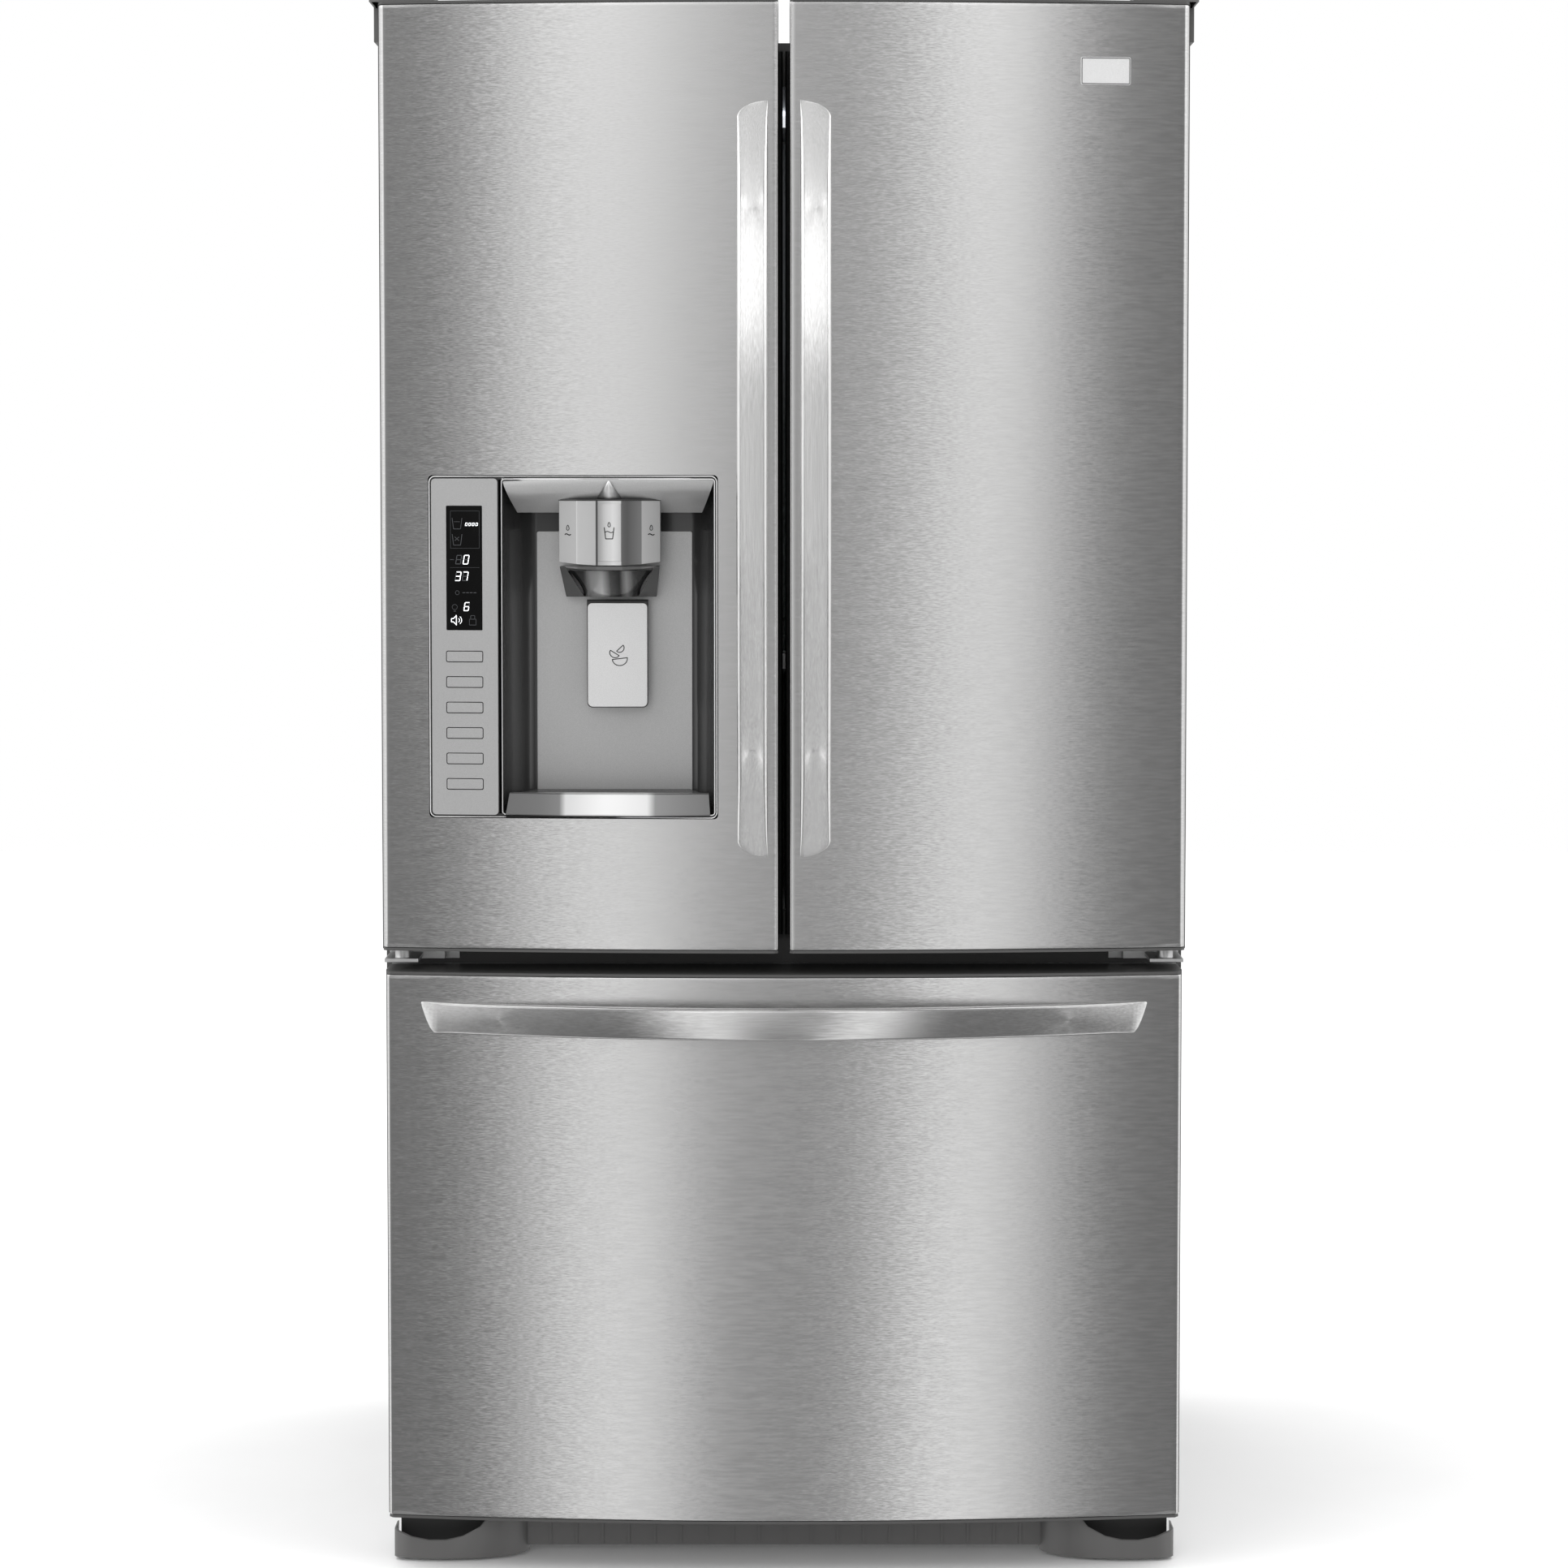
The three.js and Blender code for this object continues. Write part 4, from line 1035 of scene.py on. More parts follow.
def display():
    """Black glass with lit digits and faint unlit signs behind it, which show by a small painted
    glow.
    """
    glass = plate([rounded(*WINDOW, 1.0)], PANEL_FACE + 0.7, PANEL_FACE + 2.6)
    place("display_window", to_panel(glass), "left_door", "smoked_plastic", DISPLAY)
    place("display_lit", to_panel(join(*lit_signs())), "left_door", None, LIT)
    place("display_unlit", to_panel(join(*unlit_signs())), "left_door", None, UNLIT_PAINTED_GLOW)


ALCOVE_BACK = -308.6  # the alcove's rear wall
ALCOVE_SILL = 1174.5  # top of the satin back panel
ALCOVE_DROP = 34  # how much lower the alcove's roof is at its back
ALCOVE_INSETS = (34, 27)  # how far its walls curve in, left and right
CONE_RADIUS = 14.5
HOOD = {"z": 1196.0, "y": -350.0, "x0": ALCOVE_LEFT + 15, "x1": ALCOVE_RIGHT - 15}


def alcove_ring(share):
    """A loop round the alcove: share is 0 at its mouth and 1 at its back wall."""
    turn = share * math.pi / 2
    close = 1 - math.cos(turn)
    x0 = ALCOVE_LEFT + ALCOVE_INSETS[0] * close
    x1 = ALCOVE_RIGHT - ALCOVE_INSETS[1] * close
    top = DISP_HIGH.z - 2.5 - ALCOVE_DROP * share
    mouth = front_y(ALCOVE_RIGHT) + 0.6
    points = []
    for x, z in rounded(x0, x1, DISP_LOW.z + 2, top, 3 + 8 * share, 5):
        start = front_y(x) + 0.6 if share == 0 else mouth
        points.append((x, start + (ALCOVE_BACK - start) * math.sin(turn), z))
    return points


def alcove():
    """The dark recess with concave walls, its sloping hood and the satin panel at its back."""
    recess = loft([alcove_ring(share) for share in spread(0, 1, 12)], mouth=True)
    cup = place("alcove_recess", recess, "left_door", "dark_plastic", ALCOVE_DARK, 45)
    rearmost = max(cup.data.polygons, key=lambda face: face.center.y)
    if rearmost.normal.y > 0:
        cup.data.flip_normals()
    wall = cup.modifiers.new("wall", "SOLIDIFY")
    wall.thickness = 1.6 * MM
    wall.offset = -1
    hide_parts("dispenser_housing")
    hood()
    x0, x1 = ALCOVE_LEFT + ALCOVE_INSETS[0], ALCOVE_RIGHT - ALCOVE_INSETS[1]
    outline = rounded(x0, x1, DISP_LOW.z + 8, ALCOVE_SILL, 2.5)
    back = plate([outline], ALCOVE_BACK - 1.2, ALCOVE_BACK - 0.3)
    place("alcove_back_panel", back, "left_door", "grey_plastic", ALCOVE_SATIN, ease=(0.4, 2))
    rect = (ALCOVE_LEFT - 0.8, ALCOVE_RIGHT + 0.6, DISP_LOW.z + 3.0, DISP_HIGH.z - 3.0)
    bead = [(0, 2.6), (0, 0.2), (0.3, -0.5), (0.9, -0.5), (1.2, 0.0), (1.2, 2.6)]
    place("alcove_rim", ring(rect, 4, bead, front_y), "left_door", "silver_panel", RIM)


def hood():
    """The light roof of the alcove, which slopes down and back, with a cone on it whose highlight is
    painted into its colour.
    """
    top = DISP_HIGH.z - 3.8
    front = front_y(ALCOVE_RIGHT) + 1.4
    rings = []
    for share in spread(0, 1, 10):
        x0 = ALCOVE_LEFT + (HOOD["x0"] - ALCOVE_LEFT) * share
        x1 = ALCOVE_RIGHT + (HOOD["x1"] - ALCOVE_RIGHT) * share
        z = top + (HOOD["z"] - top) * share - 1.6 * math.sin(math.pi * share)
        y = front + (HOOD["y"] - front) * share
        row = []
        for x in spread(x0, x1, 8):
            mouth = front_y(x) + 1.0
            row.append((x, mouth + (y - mouth) * min(1, share * 1.5), z))
        under = [(x, y + 0.4, z + 1.4) for x, y, z in reversed(row)]
        rings.append(row + under)
    place("alcove_hood", loft(rings), "left_door", "grey_plastic", ALCOVE_SATIN, 40)
    cone = []
    for share in spread(0, 1, 6):
        radius = CONE_RADIUS * (1 - share) + 0.6
        z = HEAD_HIGH.z + 0.4 + 20 * share
        fall = (top - z) / (top - HOOD["z"])
        y = front + (HOOD["y"] - front) * fall * min(1, fall * 1.5) + 1.5
        arc = []
        for a in spread(0, math.pi, 12):
            arc.append((HEAD_X + radius * math.cos(a), y - radius * 0.8 * math.sin(a), z))
        cone.append(arc)
    # The cone's bright middle and darker sides are a painted highlight in its base colour.
    place("hood_cone", loft(cone), "left_door", "satin_handle", CONE_SILVER_PAINTED, 40)


HEAD_FACETS = [(0, -384), (14.5, -384), (36, -380), (56.5, -372)]  # offset and y
HEAD_EDGE = HEAD_FACETS[-1][0]
HEAD_REAR = -351


def head_front(offset):
    """Where the water head's faceted front is, at an offset from its centre line."""
    offset = abs(offset)
    for (a, ya), (b, yb) in zip(HEAD_FACETS, HEAD_FACETS[1:]):
        if offset <= b:
            return ya + (yb - ya) * (offset - a) / (b - a)
    return HEAD_FACETS[-1][1]


def head_shell(z_low, z_high, grow, sag):
    """A faceted prism with a bottom that sags a little to its middle."""
    half = [offset for offset, _ in HEAD_FACETS[1:]]
    plan = [(x, head_front(x) - grow) for x in [-x for x in reversed(half)] + half]
    plan = [(HEAD_X + x * (1 + grow / 56), y) for x, y in plan]
    plan += [(plan[-1][0], HEAD_REAR), (plan[0][0], HEAD_REAR)]
    under = [(x, y, z_low + sag * ((x - HEAD_X) / HEAD_EDGE) ** 2) for x, y in plan]
    return loft([under, [(x, y, z_high) for x, y in plan]])


def water_head():
    shell = head_shell(HEAD_LOW.z, HEAD_HIGH.z - 1.6, 0, 4)
    # The head's light and dark facets are painted reflections in its base colour.
    body = place(
        "head_shell", shell, "left_door", "satin_handle", HEAD_SILVER_PAINTED, 8, ease=(0.35, 2, 8)
    )
    cap = head_shell(HEAD_HIGH.z - 1.5, HEAD_HIGH.z, 0.6, 0)
    place("head_cap", cap, "left_door", "dark_plastic", ALCOVE_DARK, 8)
    neck = block(HEAD_X - 45, HEAD_X + 45, HEAD_REAR, -309, HEAD_LOW.z + 2, HEAD_LOW.z + 53)
    stem = place("head_neck", neck, "left_door", "dark_plastic", DARK, ease=(2, 3))
    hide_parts("water_head")
    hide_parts("water_head")
    water_key()


def water_key():
    low, high = box_of("water_button")
    half = 13.4
    rings = []
    for z in (low.z, high.z):
        front = [(HEAD_X + x, low.y + 1.3 * (x / 13.5) ** 2, z) for x in spread(-half, half, 12)]
        rings.append(front + [(HEAD_X + half, high.y, z), (HEAD_X - half, high.y, z)])
    # The key carries the head's painted reflections: a bright middle and a dark strip at its left
    # edge.
    key = place(
        "water_key", loft(rings), "water_button", "chrome_trim", HEAD_SILVER_PAINTED, 30, ease=(0.4, 2)
    )
    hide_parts("water_button")


def drop_shape(x, z, size):
    """A drop of water, point up."""
    points = []
    for a in spread(0, 2 * math.pi, 14)[:-1]:
        lift = size * 0.9 * max(0, math.cos(a)) ** 3
        points.append((x + size * math.sin(a) * 0.8, z + size * math.cos(a) + lift))
    return list(reversed(points))


def printed(name, strokes, body, centre, turn=0.0):
    """Ink strokes moved to a place on a face and turned with it."""
    bm = join(*strokes)
    bmesh.ops.translate(bm, vec=centre, verts=bm.verts)
    if turn:
        spin(bm, centre, turn)
    place(name, bm, body, None, INK)


def line_work(points, width, closed=True):
    return outline_of(points, width, closed, -0.12, 0.2)


def wave_line(x, z, wide, width):
    points = [
        (x + wide * (t - 0.5), z + 0.7 * math.sin(2 * math.pi * t)) for t in spread(0, 1, 8)
    ]
    return line_work(points, width, closed=False)


MARK_DROP = 35  # how far the marks' middle is below the head's top
MARK_OFFSET = 46.5  # of the outer marks, from the head's centre line


def head_icons():
    """A drop over a ripple on the outer facets and a filling cup on the button."""
    z = HEAD_HIGH.z - MARK_DROP
    (inner, _), (outer, _) = HEAD_FACETS[-2:]
    slope = math.atan2(head_front(outer) - head_front(inner), outer - inner)
    y = head_front(MARK_OFFSET) - 0.1
    for side, name in ((-1, "left"), (1, "right")):
        marks = line_work(drop_shape(0, 2.4, 2.0), 0.8) + wave_line(0, -4.2, 7.0, 1.2)
        spot = (HEAD_X + side * MARK_OFFSET, y, z)
        printed(f"ripple_mark_{name}", marks, "left_door", spot, side * slope)
    low = box_of("water_button")[0]
    cup = line_work(cup_shape(-5.4, -9.0, 10.8, 12.5), 1.0, closed=False)
    cup += wave_line(0, -1.4, 8.0, 0.9) + line_work(drop_shape(0, 6.0, 1.8), 0.8)
    printed("cup_mark", cup, "water_button", (HEAD_X, low.y - 0.05, z))


def bracket_wing(side, low, top, back):
    """One side plate of the chute's bracket, narrower and set back at its foot."""
    edges = [
        [(56, -374), (50, -376), (50, back), (56, back)],
        [(51, -333), (30, -335), (30, back), (51, back)],
    ]
    rings = []
    for plan, z in zip(edges, (top, low)):
        rings.append([(HEAD_X + side * x, y, z) for x, y in plan])
    return loft(rings)


def ice_chute():
    """A smoked bracket under the head, round a funnel whose glossy streaks are painted highlights.
    """
    top = HEAD_LOW.z - 0.8
    low = CHUTE_LOW.z
    back = CHUTE_HIGH.y
    finish = ("left_door", "smoked_plastic", SMOKED)
    for side, name in ((-1, "left"), (1, "right")):
        wing = bracket_wing(side, low, top, back)
        place(f"chute_wing_{name}", wing, *finish, ease=(0.8, 2))
    lip = head_shell(top - 4.5, top, -0.6, 4)
    place("chute_lip", lip, *finish, 8, ease=(0.4, 2, 8))
    rings = []
    for share in spread(0, 1, 10):
        z = top - 5 + (low - top + 5) * share
        wide = 46 - 15 * math.sin(share * math.pi / 2)
        front = -373 + 36 * share
        rim = []
        for a in spread(0, math.pi, 20):
            rim.append((HEAD_X + wide * math.cos(a), front + (1 - math.sin(a)) * 14, z))
        rings.append(rim + [(HEAD_X - wide, back - 2, z), (HEAD_X + wide, back - 2, z)])
    # The funnel's bright streaks are painted highlights in its base colour.
    funnel = place("chute_funnel", loft(rings), "left_door", "smoked_plastic", FUNNEL_PAINTED_GLOSS, 40)
    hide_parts("ice_chute")


def half_moon(x, z, radius, tilt):
    """The outline of a half-moon ice piece."""
    points = []
    for a in spread(math.pi, 2 * math.pi, 10):
        px, pz = radius * math.cos(a), radius * 0.92 * math.sin(a)
        points.append((
            x + px * math.cos(tilt) - pz * math.sin(tilt),
            z + px * math.sin(tilt) + pz * math.cos(tilt),
        ))
    return points


HALF_MOONS = [((1.5, -3.0), 8.6, 0.12), ((-4.2, 3.4), 5.8, -0.55), ((1.6, 8.8), 5.0, 0.75)]
PADDLE_PIVOT_Y = -332


def ice_paddle():
    """A mirror-bright plate with a dark edge, hung under the chute."""
    centre = (PADDLE_LOW.x + PADDLE_HIGH.x) / 2
    half = (PADDLE_HIGH.x - PADDLE_LOW.x) / 2
    middle = (PADDLE_LOW.z + PADDLE_HIGH.z) / 2
    front = PADDLE_LOW.y
    top = PADDLE_HIGH.z - 4
    outline = []
    for x, z in rounded(centre - half + 0.9, centre + half - 0.9, PADDLE_LOW.z + 2.6, top, 5, 6):
        if z < PADDLE_LOW.z + 8:
            z -= 1.8 * (1 - ((x - centre) / half) ** 2)
        outline.append((x, z))
    face = place(
        "paddle_face",
        plate([outline], front - 0.1, front + 1.6),
        "ice_paddle",
        "chrome_trim",
        MIRROR,
        ease=(0.7, 3),
    )
    rim = [(centre + (x - centre) * 1.022, middle + (z - middle) * 1.014) for x, z in outline]
    holder = join(
        plate([rim], front + 1.0, front + 3.0),
        block(centre - 5, centre + 5, front + 2.5, front + 6.5, PADDLE_LOW.z + 60, top),
        turned([(4, -half), (4, half)], (centre, PADDLE_PIVOT_Y, top), "X", 20),
    )
    backing = place("paddle_holder", holder, "ice_paddle", "dark_plastic", DARK)
    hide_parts("ice_paddle")
    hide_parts("ice_paddle")
    marks = []
    for spot, radius, tilt in HALF_MOONS:
        marks += line_work(half_moon(*spot, radius, tilt), 1.0)
    printed("ice_mark", marks, "ice_paddle", (centre + 1, front - 0.15, (PADDLE_LOW.z + top) / 2))


# The lip's front edge in plan at its foot and at its top, and the rear edge of both.
LIP_FOOT = [(-311, -387), (-252, -402), (-146, -409), (-82, -402)]
LIP_TOP = [(-306, -384), (-252, -397), (-146, -403), (-84, -397)]
LIP_REAR = [(-84, -392), (-300, -380)]
LIP_ROUND = 1.2  # how far the lip's top and foot are rounded off
PAN = {"left": -300, "right": -86, "front": -384, "rear": -316, "floor": 866, "wall": 2}
PAN_TOP = 880
SLATS = 15
SLAT_PITCH = 4.3
SLAT_WIDTH = 2
SLAT_TAPER = 0.27  # how fast the slats shorten towards the back


def tray_lip():
    z0, z1 = TRAY_LOW.z, TRAY_HIGH.z
    rings = []
    for share, z in ((0, z0), (0.12, z0 + LIP_ROUND), (0.9, z1 - LIP_ROUND), (1, z1)):
        ease = LIP_ROUND if share in (0, 1) else 0
        row = []
        for (xa, ya), (xb, yb) in zip(LIP_FOOT + LIP_REAR, LIP_TOP + LIP_REAR):
            row.append((xa + (xb - xa) * share, ya + (yb - ya) * share + ease, z))
        rings.append(row)
    # The lip's bright middle facet and darker end facets are painted reflections in its base colour.
    lip = place("tray_lip", loft(rings), "left_door", "silver_panel", TRAY_SILVER_PAINTED, 12)
    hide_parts("drip_tray")


def tray_pan():
    left, right, front, rear, floor, wall = PAN.values()
    inner = floor + wall
    shell = join(
        block(left, right, front, rear, floor, inner),
        block(left, right, front, front + wall, inner, PAN_TOP),
        block(left + 17, right - 16, rear - wall, rear, inner, PAN_TOP),
    )
    pan = place("tray_pan", shell, "left_door", "dark_plastic", DARK)
    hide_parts("drip_tray")


def tray_grille():
    """Slats that follow the tray's taper, on three bars that run back."""
    slats = []
    for i in range(SLATS):
        y = PAN["front"] + 4 + SLAT_PITCH * i
        inset = SLAT_TAPER * (y + 386)
        left, right = PAN["left"] + inset, PAN["right"] - 2 - inset
        slats.append(block(left, right, y, y + SLAT_WIDTH, PAN_TOP - 1, PAN_TOP + 2.5))
    for x, y in ((-200, -380), (-280, -372), (-112, -372)):
        slats.append(block(x, x + 4, y, -318, PAN_TOP - 3.5, PAN_TOP - 0.8))
    place("tray_grille", join(*slats), "left_door", "grey_plastic", ALCOVE_DARK, ease=(0.4, 2))


def drip_tray():
    """A tray with a faceted lip, whose bright front and darker ends are painted reflections, and a
    slotted grille.
    """
    tray_lip()
    tray_pan()
    tray_grille()


def dispenser():
    bezel()
    control_panel()
    display()
    alcove()
    water_head()
    head_icons()
    ice_chute()
    ice_paddle()
    drip_tray()


# ---- cabinet outside -----------------------------------------------------------------
CASE_FINISHES = [
    # slot, material, eased edge, its segments, nodes
    ("cabinet_paint", CASE_PAINT, 0.45, 2, ["cabinet_shell", "back_panel", "machine_cover"]),
    ("zinc_steel", ZINC, 0.8, 2, ["base_frame"]),
    ("compressor_paint", COMPRESSOR_PAINT, 6, 4, ["compressor"]),
    ("dark_plastic", DARK, 0.8, 3, ["cord_gland"]),
    ("dark_plastic", DARK, 0.5, 2, ["condenser_fan"]),
    ("foam", FOAM, 0.1, 1, ["insulation_foam"]),
]
SIDE_FINISHES = [
    # slot, material, eased edge, its segments, node without its side
    ("zinc_steel", ZINC, 0.6, 2, "top_hinge"),
    ("zinc_steel", ZINC, 0.5, 2, "centre_hinge"),
    ("zinc_steel", ZINC, 0.6, 2, "slide_rail"),
    ("grey_plastic", GREY, 1.6, 4, "hinge_cover"),
    ("dark_plastic", DARK, 0.8, 2, "leveling_leg"),
    ("dark_plastic", DARK, 1.6, 3, "roller"),
]


def cabinet_outside():
    for slot, material, width, segments, nodes in CASE_FINISHES:
        for node in nodes:
            finished(node, slot, material, width, segments)
    for side in ("left", "right"):
        for slot, material, width, segments, kind in SIDE_FINISHES:
            finished(f"{kind}_{side}", slot, material, width, segments)


def rear_details():
    """Pressed ribs and pan-head screws on the back panel."""
    low, high = box_of("back_panel")
    ribs = []
    for x in (-300, -100, 100, 300):
        rings = []
        for z, rise in ((low.z + 70, 0), (low.z + 96, 1), (high.z - 96, 1), (high.z - 70, 0)):
            profile = [(x - 26, 0), (x - 18, 2.3 * rise), (x + 18, 2.3 * rise), (x + 26, 0)]
            rings.append([(px, high.y - 0.4 + py, z) for px, py in profile])
        ribs.append(loft(rings))
    place("back_ribs", join(*ribs), "cabinet", "cabinet_paint", CASE_PAINT, 20)
    sides = (low.x + 12, high.x - 12)
    spots = [(x, z) for x in sides for z in (360, 700, 1040, 1380, 1700)]
    spots += [(x, z) for x in (-430, -150, 150, 430) for z in (78, 320)]
    head = [(4.2, 0), (4.2, 0.6), (3.2, 1.9), (1.6, 2.3)]
    heads = [turned(head, (x, high.y, z), "Y", 16) for x, z in spots]
    place("back_screws", join(*heads), "cabinet", "zinc_steel", ZINC)


# ---- base ----------------------------------------------------------------------------
LEG_PLAN = [
    (-445, -300), (-445, -329), (-441, -334), (-425, -338), (-405, -340.4), (-385, -341),
    (-365, -339.6), (-345, -337), (-330, -332.6), (-315, -327), (-305, -319.5), (-298, -312),
    (-293, -300),
]
LEG_X = -397  # middle of the scoop in a leg cover's top
SCOOP_HALF = 62
SCOOP_DEPTH = 32
LEG_TOP = 57.5
LEG_FOOT = 4


def leg_cover():
    """A hollow cover that bulges round a front foot, with a scooped top edge."""
    rings = []
    for x, y in LEG_PLAN:
        across = (x - LEG_X) / SCOOP_HALF
        dip = max(0.0, 1 - across**2) ** 0.5 if abs(x - LEG_X) < SCOOP_HALF else 0
        top = LEG_TOP - SCOOP_DEPTH * dip
        inner_x = x - (x - LEG_X) * 0.036
        rings.append([
            (x, y, LEG_FOOT),
            (x, y, top - 1),
            (inner_x, y + 1, top),
            (inner_x, y + 3, top - 1),
            (inner_x, y + 3, LEG_FOOT),
        ])
    return loft(rings)


def base():
    strip = block(-296, 296, -304, -299, 10, 56)
    moulding = join(strip, leg_cover(), mirror(leg_cover()))
    cover = place("toe_moulding", moulding, "cabinet", "grey_plastic", GREY, 40)
    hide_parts("toe_grille")
    back = [block(side * 296, side * 440, -303, -298, 10, 57) for side in (-1, 1)]
    place("toe_backing", join(*back), "cabinet", "dark_plastic", DARK)
    ribs = [block(x, x + 3, -305.2, -303.8, 12, 54) for x in range(-270, 280, 30)]
    place("toe_ribs", join(*ribs), "cabinet", "grey_plastic", GREY)


# ---- inside --------------------------------------------------------------------------
DUCT_HALF = 70
DUCT_DEPTH = 16
DUCT_FOOT = 1050


def air_duct():
    """A flat duct on the fridge's rear wall, with pairs of dark vents."""
    back = ROOM_HIGH.y - 2
    face = back - DUCT_DEPTH
    duct = block(-DUCT_HALF, DUCT_HALF, face, back, DUCT_FOOT, ROOM_HIGH.z - 2)
    place("air_duct", duct, "cabinet", "white_liner", WHITE, ease=(6, 4))
    vents = []
    for z in range(1110, 1640, 75):
        for side in (-1, 1):
            vents.append(block(side * 30, side * 58, face - 0.6, face + 0.4, z, z + 8))
    place("duct_vents", join(*vents), "cabinet", "dark_plastic", DARK)


def liners():
    finished("fridge_liner", "white_liner", WHITE, 1.5, 3)
    finished("freezer_liner", "white_liner", WHITE, 1.5, 3)
    finished("ice_compartment", "white_liner", WHITE, 3, 3)
    air_duct()
    lamp = spin(plate([rounded(-150, 150, -60, 40, 12)], 0, 5), (0, 0, 0), -math.pi / 2, "X")
    bmesh.ops.translate(lamp, vec=(0, 60, ROOM_HIGH.z - 7.5), verts=lamp.verts)
    place("roof_lamp", lamp, "cabinet", "white_liner", LAMP, ease=(1.5, 3))


def shelf(node, name):
    """A glass pane in a moulded frame with a bright front edge."""
    low, high = box_of(node)
    pane = block(low.x + 9, high.x - 9, low.y + 16, high.y - 12, high.z - 5, high.z - 1)
    glass = place(f"{name}_pane", pane, "cabinet", "shelf_glass", GLASS, ease=(0.6, 2))
    frame_bars = join(
        block(low.x, high.x, low.y, low.y + 20, low.z, high.z),
        block(low.x, high.x, high.y - 14, high.y, low.z, high.z),
        block(low.x, low.x + 11, low.y + 19, high.y - 13, low.z, high.z - 0.4),
        block(high.x - 11, high.x, low.y + 19, high.y - 13, low.z, high.z - 0.4),
    )
    border = place(
        f"{name}_border", frame_bars, "cabinet", "white_liner", WHITE, ease=(1.6, 3)
    )
    trim = block(low.x + 2, high.x - 2, low.y - 0.8, low.y + 1, low.z + 3, high.z - 3)
    place(f"{name}_trim", trim, "cabinet", "chrome_trim", BRIGHT_EDGE)
    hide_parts(node)
    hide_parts(node)


def open_tub(x, y, z, wall, radius, draft=0.0, rim=2.0):
    """A thin-walled open bin with round corners, a little narrower at the bottom."""
    bottom, top = z
    floor = bottom + wall
    outside = [
        (bottom, draft + 3.0), (bottom, draft + 0.6), (bottom + 2.5, draft), (top - rim, 0.0),
        (top, 0.4),
    ]
    inside = [
        (top, wall), (top - rim, wall), (floor + 2, draft + wall), (floor, draft + wall + 2),
    ]
    rings = []
    for levels, corner in ((outside, radius), (inside, radius - wall * 0.6)):
        for height, inset in levels:
            path = rounded(x[0] + inset, x[1] - inset, y[0] + inset, y[1] - inset, corner, 5)
            rings.append([(px, py, height) for px, py in path])
    return loft(rings)


def flat_ring(rect, radius, profile, z):
    """A ring lying flat: rect is in X and Y, and profile is (inset, height) about z."""
    bm = ring(rect, radius, profile)
    for vert in bm.verts:
        vert.co = (vert.co.x, vert.co.z, z + vert.co.y)
    return bm


def crisper(side):
    node = f"crisper_{side}"
    low, high = box_of(node)
    tub = open_tub((low.x, high.x), (low.y + 3, high.y), (low.z, high.z), 2.6, 12, 5)
    piece = place(f"{node}_bin", tub, "cabinet", "clear_plastic", FROSTED, 40)
    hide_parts(node)
    outline = rounded(low.x + 1, high.x - 1, low.z + 1, high.z - 1, 8)
    front = plate([outline], low.y, low.y + 3.4)
    place(f"{node}_front", front, "cabinet", "clear_plastic", FROSTED, ease=(1.0, 3))
    grip = block(low.x + 90, high.x - 90, low.y - 6, low.y + 0.5, high.z - 44, high.z - 22)
    place(f"{node}_grip", grip, "cabinet", "white_liner", WHITE, ease=(3, 4))


def shelves():
    crisper("left")
    crisper("right")
    shelf("crisper_cover", "crisper_cover")
    shelf("shelf_left", "left_shelf")
    shelf("shelf_right", "right_shelf")


def door_bins():
    for level in ("upper", "lower"):
        node = f"door_bin_{level}"
        low, high = box_of(node)
        tub = open_tub((low.x, high.x), (low.y, high.y), (low.z, high.z), 2.6, 14, 3)
        piece = place(f"{level}_bin", tub, "right_door", "clear_plastic", CLEAR, 40)
        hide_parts(node)
        rect = (low.x + 0.4, high.x - 0.4, low.y + 0.4, high.y - 0.4)
        band = flat_ring(rect, 14, [(0, -1), (0, -12), (1.8, -12), (1.8, -1)], high.z)
        place(f"{level}_bin_trim", band, "right_door", "white_liner", WHITE, 40)


def left_door_inside():
    """The ice room's door and its latch inside the left door, and the mullion."""
    low, high = ICE_LOW, ICE_HIGH
    outline = rounded(low.x + 3, high.x - 3, low.z + 3, high.z - 3, 10)
    leaf = plate([outline], high.y + 0.3, high.y + 6)
    place("ice_room_door", leaf, "left_door", "white_liner", WHITE, ease=(2.0, 4))
    z = (low.z + high.z) / 2
    latch = block(high.x - 34, high.x - 16, high.y + 5.5, high.y + 9, z - 28, z + 28)
    place("ice_room_latch", latch, "left_door", "grey_plastic", GREY, ease=(2, 3))
    finished("mullion", "dark_plastic", GREY, 2.0, 3)


BASKET_TUB = ((-366, 366), (-272, 145))
BASKET_RIM_Z = 231.4


def drawer_inside():
    finished("drawer_carriage", "zinc_steel", ZINC, 0.8)
    low, high = box_of("freezer_basket")
    tub = open_tub(*BASKET_TUB, (low.z, high.z), 2.8, 16, 8, 3)
    basket = place("basket_tub", tub, "drawer", "white_liner", WHITE, 40)
    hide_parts("freezer_basket")
    band = [(0, 0), (0, 3.5), (11, 3.5), (11, 0)]
    rim = flat_ring((low.x, high.x, low.y, high.y), 8, band, BASKET_RIM_Z)
    place("basket_rim", rim, "drawer", "white_liner", WHITE, 40)
    low, high = box_of("freezer_tray")
    tub = open_tub((low.x, high.x), (low.y, high.y), (low.z, high.z), 2.6, 14, 4)
    tray = place("upper_tray", tub, "freezer_tray", "clear_plastic", FROSTED, 40)
    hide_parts("freezer_tray")
    lip = block(low.x + 180, high.x - 180, low.y + 2.6, low.y + 10, high.z - 20, high.z - 12)
    place("upper_tray_grip", lip, "freezer_tray", "white_liner", WHITE, ease=(2, 3))


# ---- studio --------------------------------------------------------------------------
WORLD_STRENGTH = 1.1
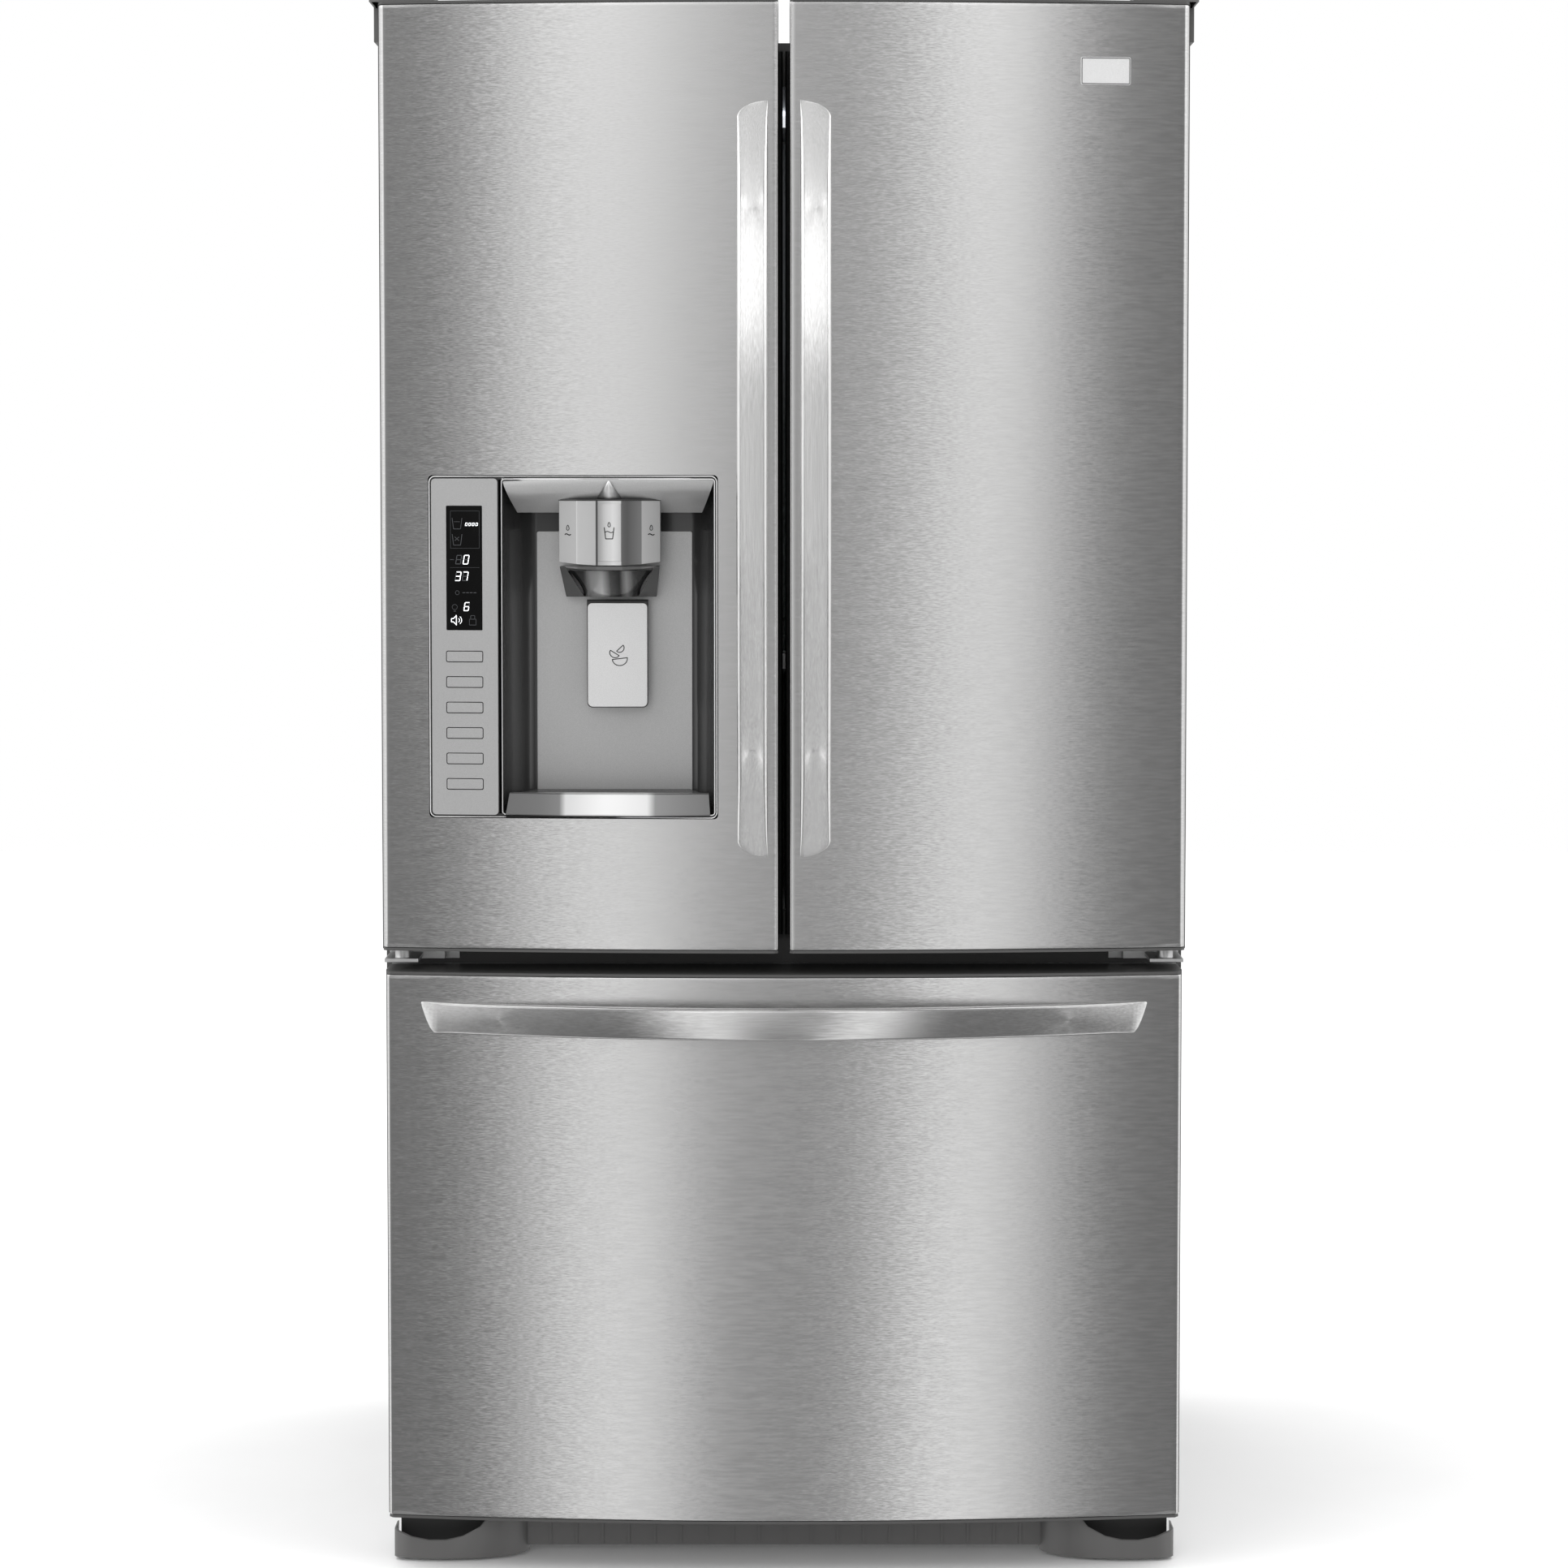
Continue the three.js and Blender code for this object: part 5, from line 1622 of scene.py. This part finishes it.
# Levels by azimuth in degrees, where 0 is straight in front of the appliance.
UPPER_BANDS = [
    (-180, 0.5), (-60, 1.1), (-42, 0.9), (-34, 0.35), (-19, 0.20), (-16.5, 0.38), (-13.5, 0.92),
    (-10, 0.95), (-7.5, 0.86), (-4.5, 0.62), (-1, 0.50), (1.5, 0.36), (4, 0.34), (6.5, 0.52),
    (9, 0.92), (11.5, 1.08), (14, 0.75), (16.5, 0.26), (19.5, 0.18), (28, 0.20),
    (36, 0.35), (44, 0.9), (60, 1.1), (180, 0.5),
]
LOWER_BANDS = [
    (-180, 0.5), (-62, 1.1), (-48, 0.5), (-38, 0.22), (-18, 0.15), (-15.5, 0.26), (-12.5, 0.75),
    (-8.8, 1.2), (-6.6, 0.95), (-4.2, 0.3), (-1, 0.26), (3, 0.28), (6, 0.75), (8.5, 1.3),
    (11, 1.0), (14, 0.52), (17, 0.17), (38, 0.2), (48, 0.5), (62, 1.1), (180, 0.5),
]
# Levels by height, where 0 is straight down, 0.5 the horizon and 1 straight up.
VAULT_STOPS = [
    (0.0, 0.9), (0.45, 1.0), (0.562, 1.0), (0.592, 2.1), (0.635, 2.2), (0.67, 1.1), (1.0, 1.3),
]
SINK_STOPS = [(0.0, 0.0), (0.442, 0.0), (0.472, 1.0), (1.0, 1.0)]  # lower bands to upper ones


def band_stops(bands):
    return [(azimuth / 360 + 0.5, level) for azimuth, level in bands]


def studio_world():
    """A soft studio all round, banded by azimuth and by height, that cameras see as white."""
    world = bpy.data.worlds.new("studio")
    SCENE.world = world
    world.use_nodes = True
    tree = world.node_tree
    tree.nodes.clear()

    def add(kind, **settings):
        node = tree.nodes.new(kind)
        for key, value in settings.items():
            setattr(node, key, value)
        return node

    def math_node(operation, a, b=None):
        node = add("ShaderNodeMath", operation=operation)
        for slot, value in enumerate((a, b)):
            if value is None:
                continue
            if isinstance(value, (int, float)):
                node.inputs[slot].default_value = value
            else:
                tree.links.new(value, node.inputs[slot])
        return node.outputs[0]

    def ramp(source, stops):
        node = add("ShaderNodeValToRGB")
        tree.links.new(source, node.inputs[0])
        elements = node.color_ramp.elements
        while len(elements) < len(stops):
            elements.new(0.5)
        for element, (position, level) in zip(elements, stops):
            element.position = position
            element.color = (level, level, level, 1)
        return node.outputs[0]

    direction = add("ShaderNodeTexCoord").outputs["Generated"]
    split = add("ShaderNodeSeparateXYZ")
    tree.links.new(direction, split.inputs[0])
    back = math_node("MULTIPLY", split.outputs["Y"], -1)
    azimuth = math_node("ARCTAN2", split.outputs["X"], back)
    elevation = math_node("ARCSINE", split.outputs["Z"])
    around = math_node("ADD", math_node("DIVIDE", azimuth, 2 * math.pi), 0.5)
    height = math_node("ADD", math_node("DIVIDE", elevation, math.pi), 0.5)
    upper = ramp(around, band_stops(UPPER_BANDS))
    lower = ramp(around, band_stops(LOWER_BANDS))
    sink = ramp(height, SINK_STOPS)
    mixed = add("ShaderNodeMix", data_type="RGBA")
    tree.links.new(sink, mixed.inputs["Factor"])
    tree.links.new(lower, mixed.inputs["A"])
    tree.links.new(upper, mixed.inputs["B"])
    vault = ramp(height, VAULT_STOPS)
    whole = add("ShaderNodeMix", data_type="RGBA", blend_type="MULTIPLY")
    whole.inputs["Factor"].default_value = 1.0
    tree.links.new(mixed.outputs["Result"], whole.inputs["A"])
    tree.links.new(vault, whole.inputs["B"])
    lit = add("ShaderNodeBackground")
    lit.inputs["Strength"].default_value = WORLD_STRENGTH
    tree.links.new(whole.outputs["Result"], lit.inputs["Color"])
    seen = add("ShaderNodeBackground")
    seen.inputs["Color"].default_value = (1, 1, 1, 1)
    choose = add("ShaderNodeMixShader")
    path = add("ShaderNodeLightPath")
    tree.links.new(path.outputs["Is Camera Ray"], choose.inputs[0])
    tree.links.new(lit.outputs[0], choose.inputs[1])
    tree.links.new(seen.outputs[0], choose.inputs[2])
    output = add("ShaderNodeOutputWorld")
    tree.links.new(choose.outputs[0], output.inputs[0])


def soft_light(name, place_at, aim, size, power):
    data = bpy.data.lights.new(name, "AREA")
    data.shape = "RECTANGLE"
    data.size, data.size_y = size
    data.energy = power
    lamp = bpy.data.objects.new(name, data)
    lamp.location = place_at
    lamp.rotation_euler = (Vector(aim) - Vector(place_at)).to_track_quat("-Z", "Y").to_euler()
    lamp.visible_camera = False
    lamp.visible_glossy = False
    SCENE.collection.objects.link(lamp)


OVERHEAD = ((-0.5, -1.5, 8.0), (0, 0, 0), (12, 12), 430)  # place, aim, size and watts
FRONT_FILL = ((-2.5, -8.0, 3.0), (0, 0, 0.9), (6, 4), 150)
FLOOR_HALF = 8  # metres


def floor_paint():
    p = Paint("pale_floor")
    dust = p.noise((4, 4, 4), 3.0)
    p.set(Specular_IOR_Level=0.2)
    p.wire(
        Base_Color=p.shades(dust, tone(0.90), tone(0.92)),
        Roughness=p.ramp(dust, 0.7, 0.8),
    )
    return p.material


def studio():
    studio_world()
    soft_light("overhead", *OVERHEAD)
    soft_light("front_fill", *FRONT_FILL)
    SCENE.view_settings.view_transform = "Standard"
    bm = bmesh.new()
    bmesh.ops.create_grid(bm, x_segments=2, y_segments=2, size=FLOOR_HALF)
    mesh = bpy.data.meshes.new("floor")
    bm.to_mesh(mesh)
    bm.free()
    mesh.materials.append(floor_paint())
    floor = bpy.data.objects.new("floor", mesh)
    floor.visible_glossy = False
    SCENE.collection.objects.link(floor)


def camera():
    """A long lens, a little above the middle of the appliance and tipped down."""
    data = bpy.data.cameras.new("camera")
    data.lens = 86.3
    data.sensor_width = 36
    data.shift_y = -0.064
    view = bpy.data.objects.new("camera", data)
    view.location = (0, -4.5695, 1.225)
    view.rotation_euler = (math.radians(87.0), 0, 0)
    SCENE.collection.objects.link(view)
    SCENE.camera = view


camera()
studio()
fronts()
door_insides()
dispenser()
cabinet_outside()
rear_details()
base()
liners()
shelves()
door_bins()
left_door_inside()
drawer_inside()
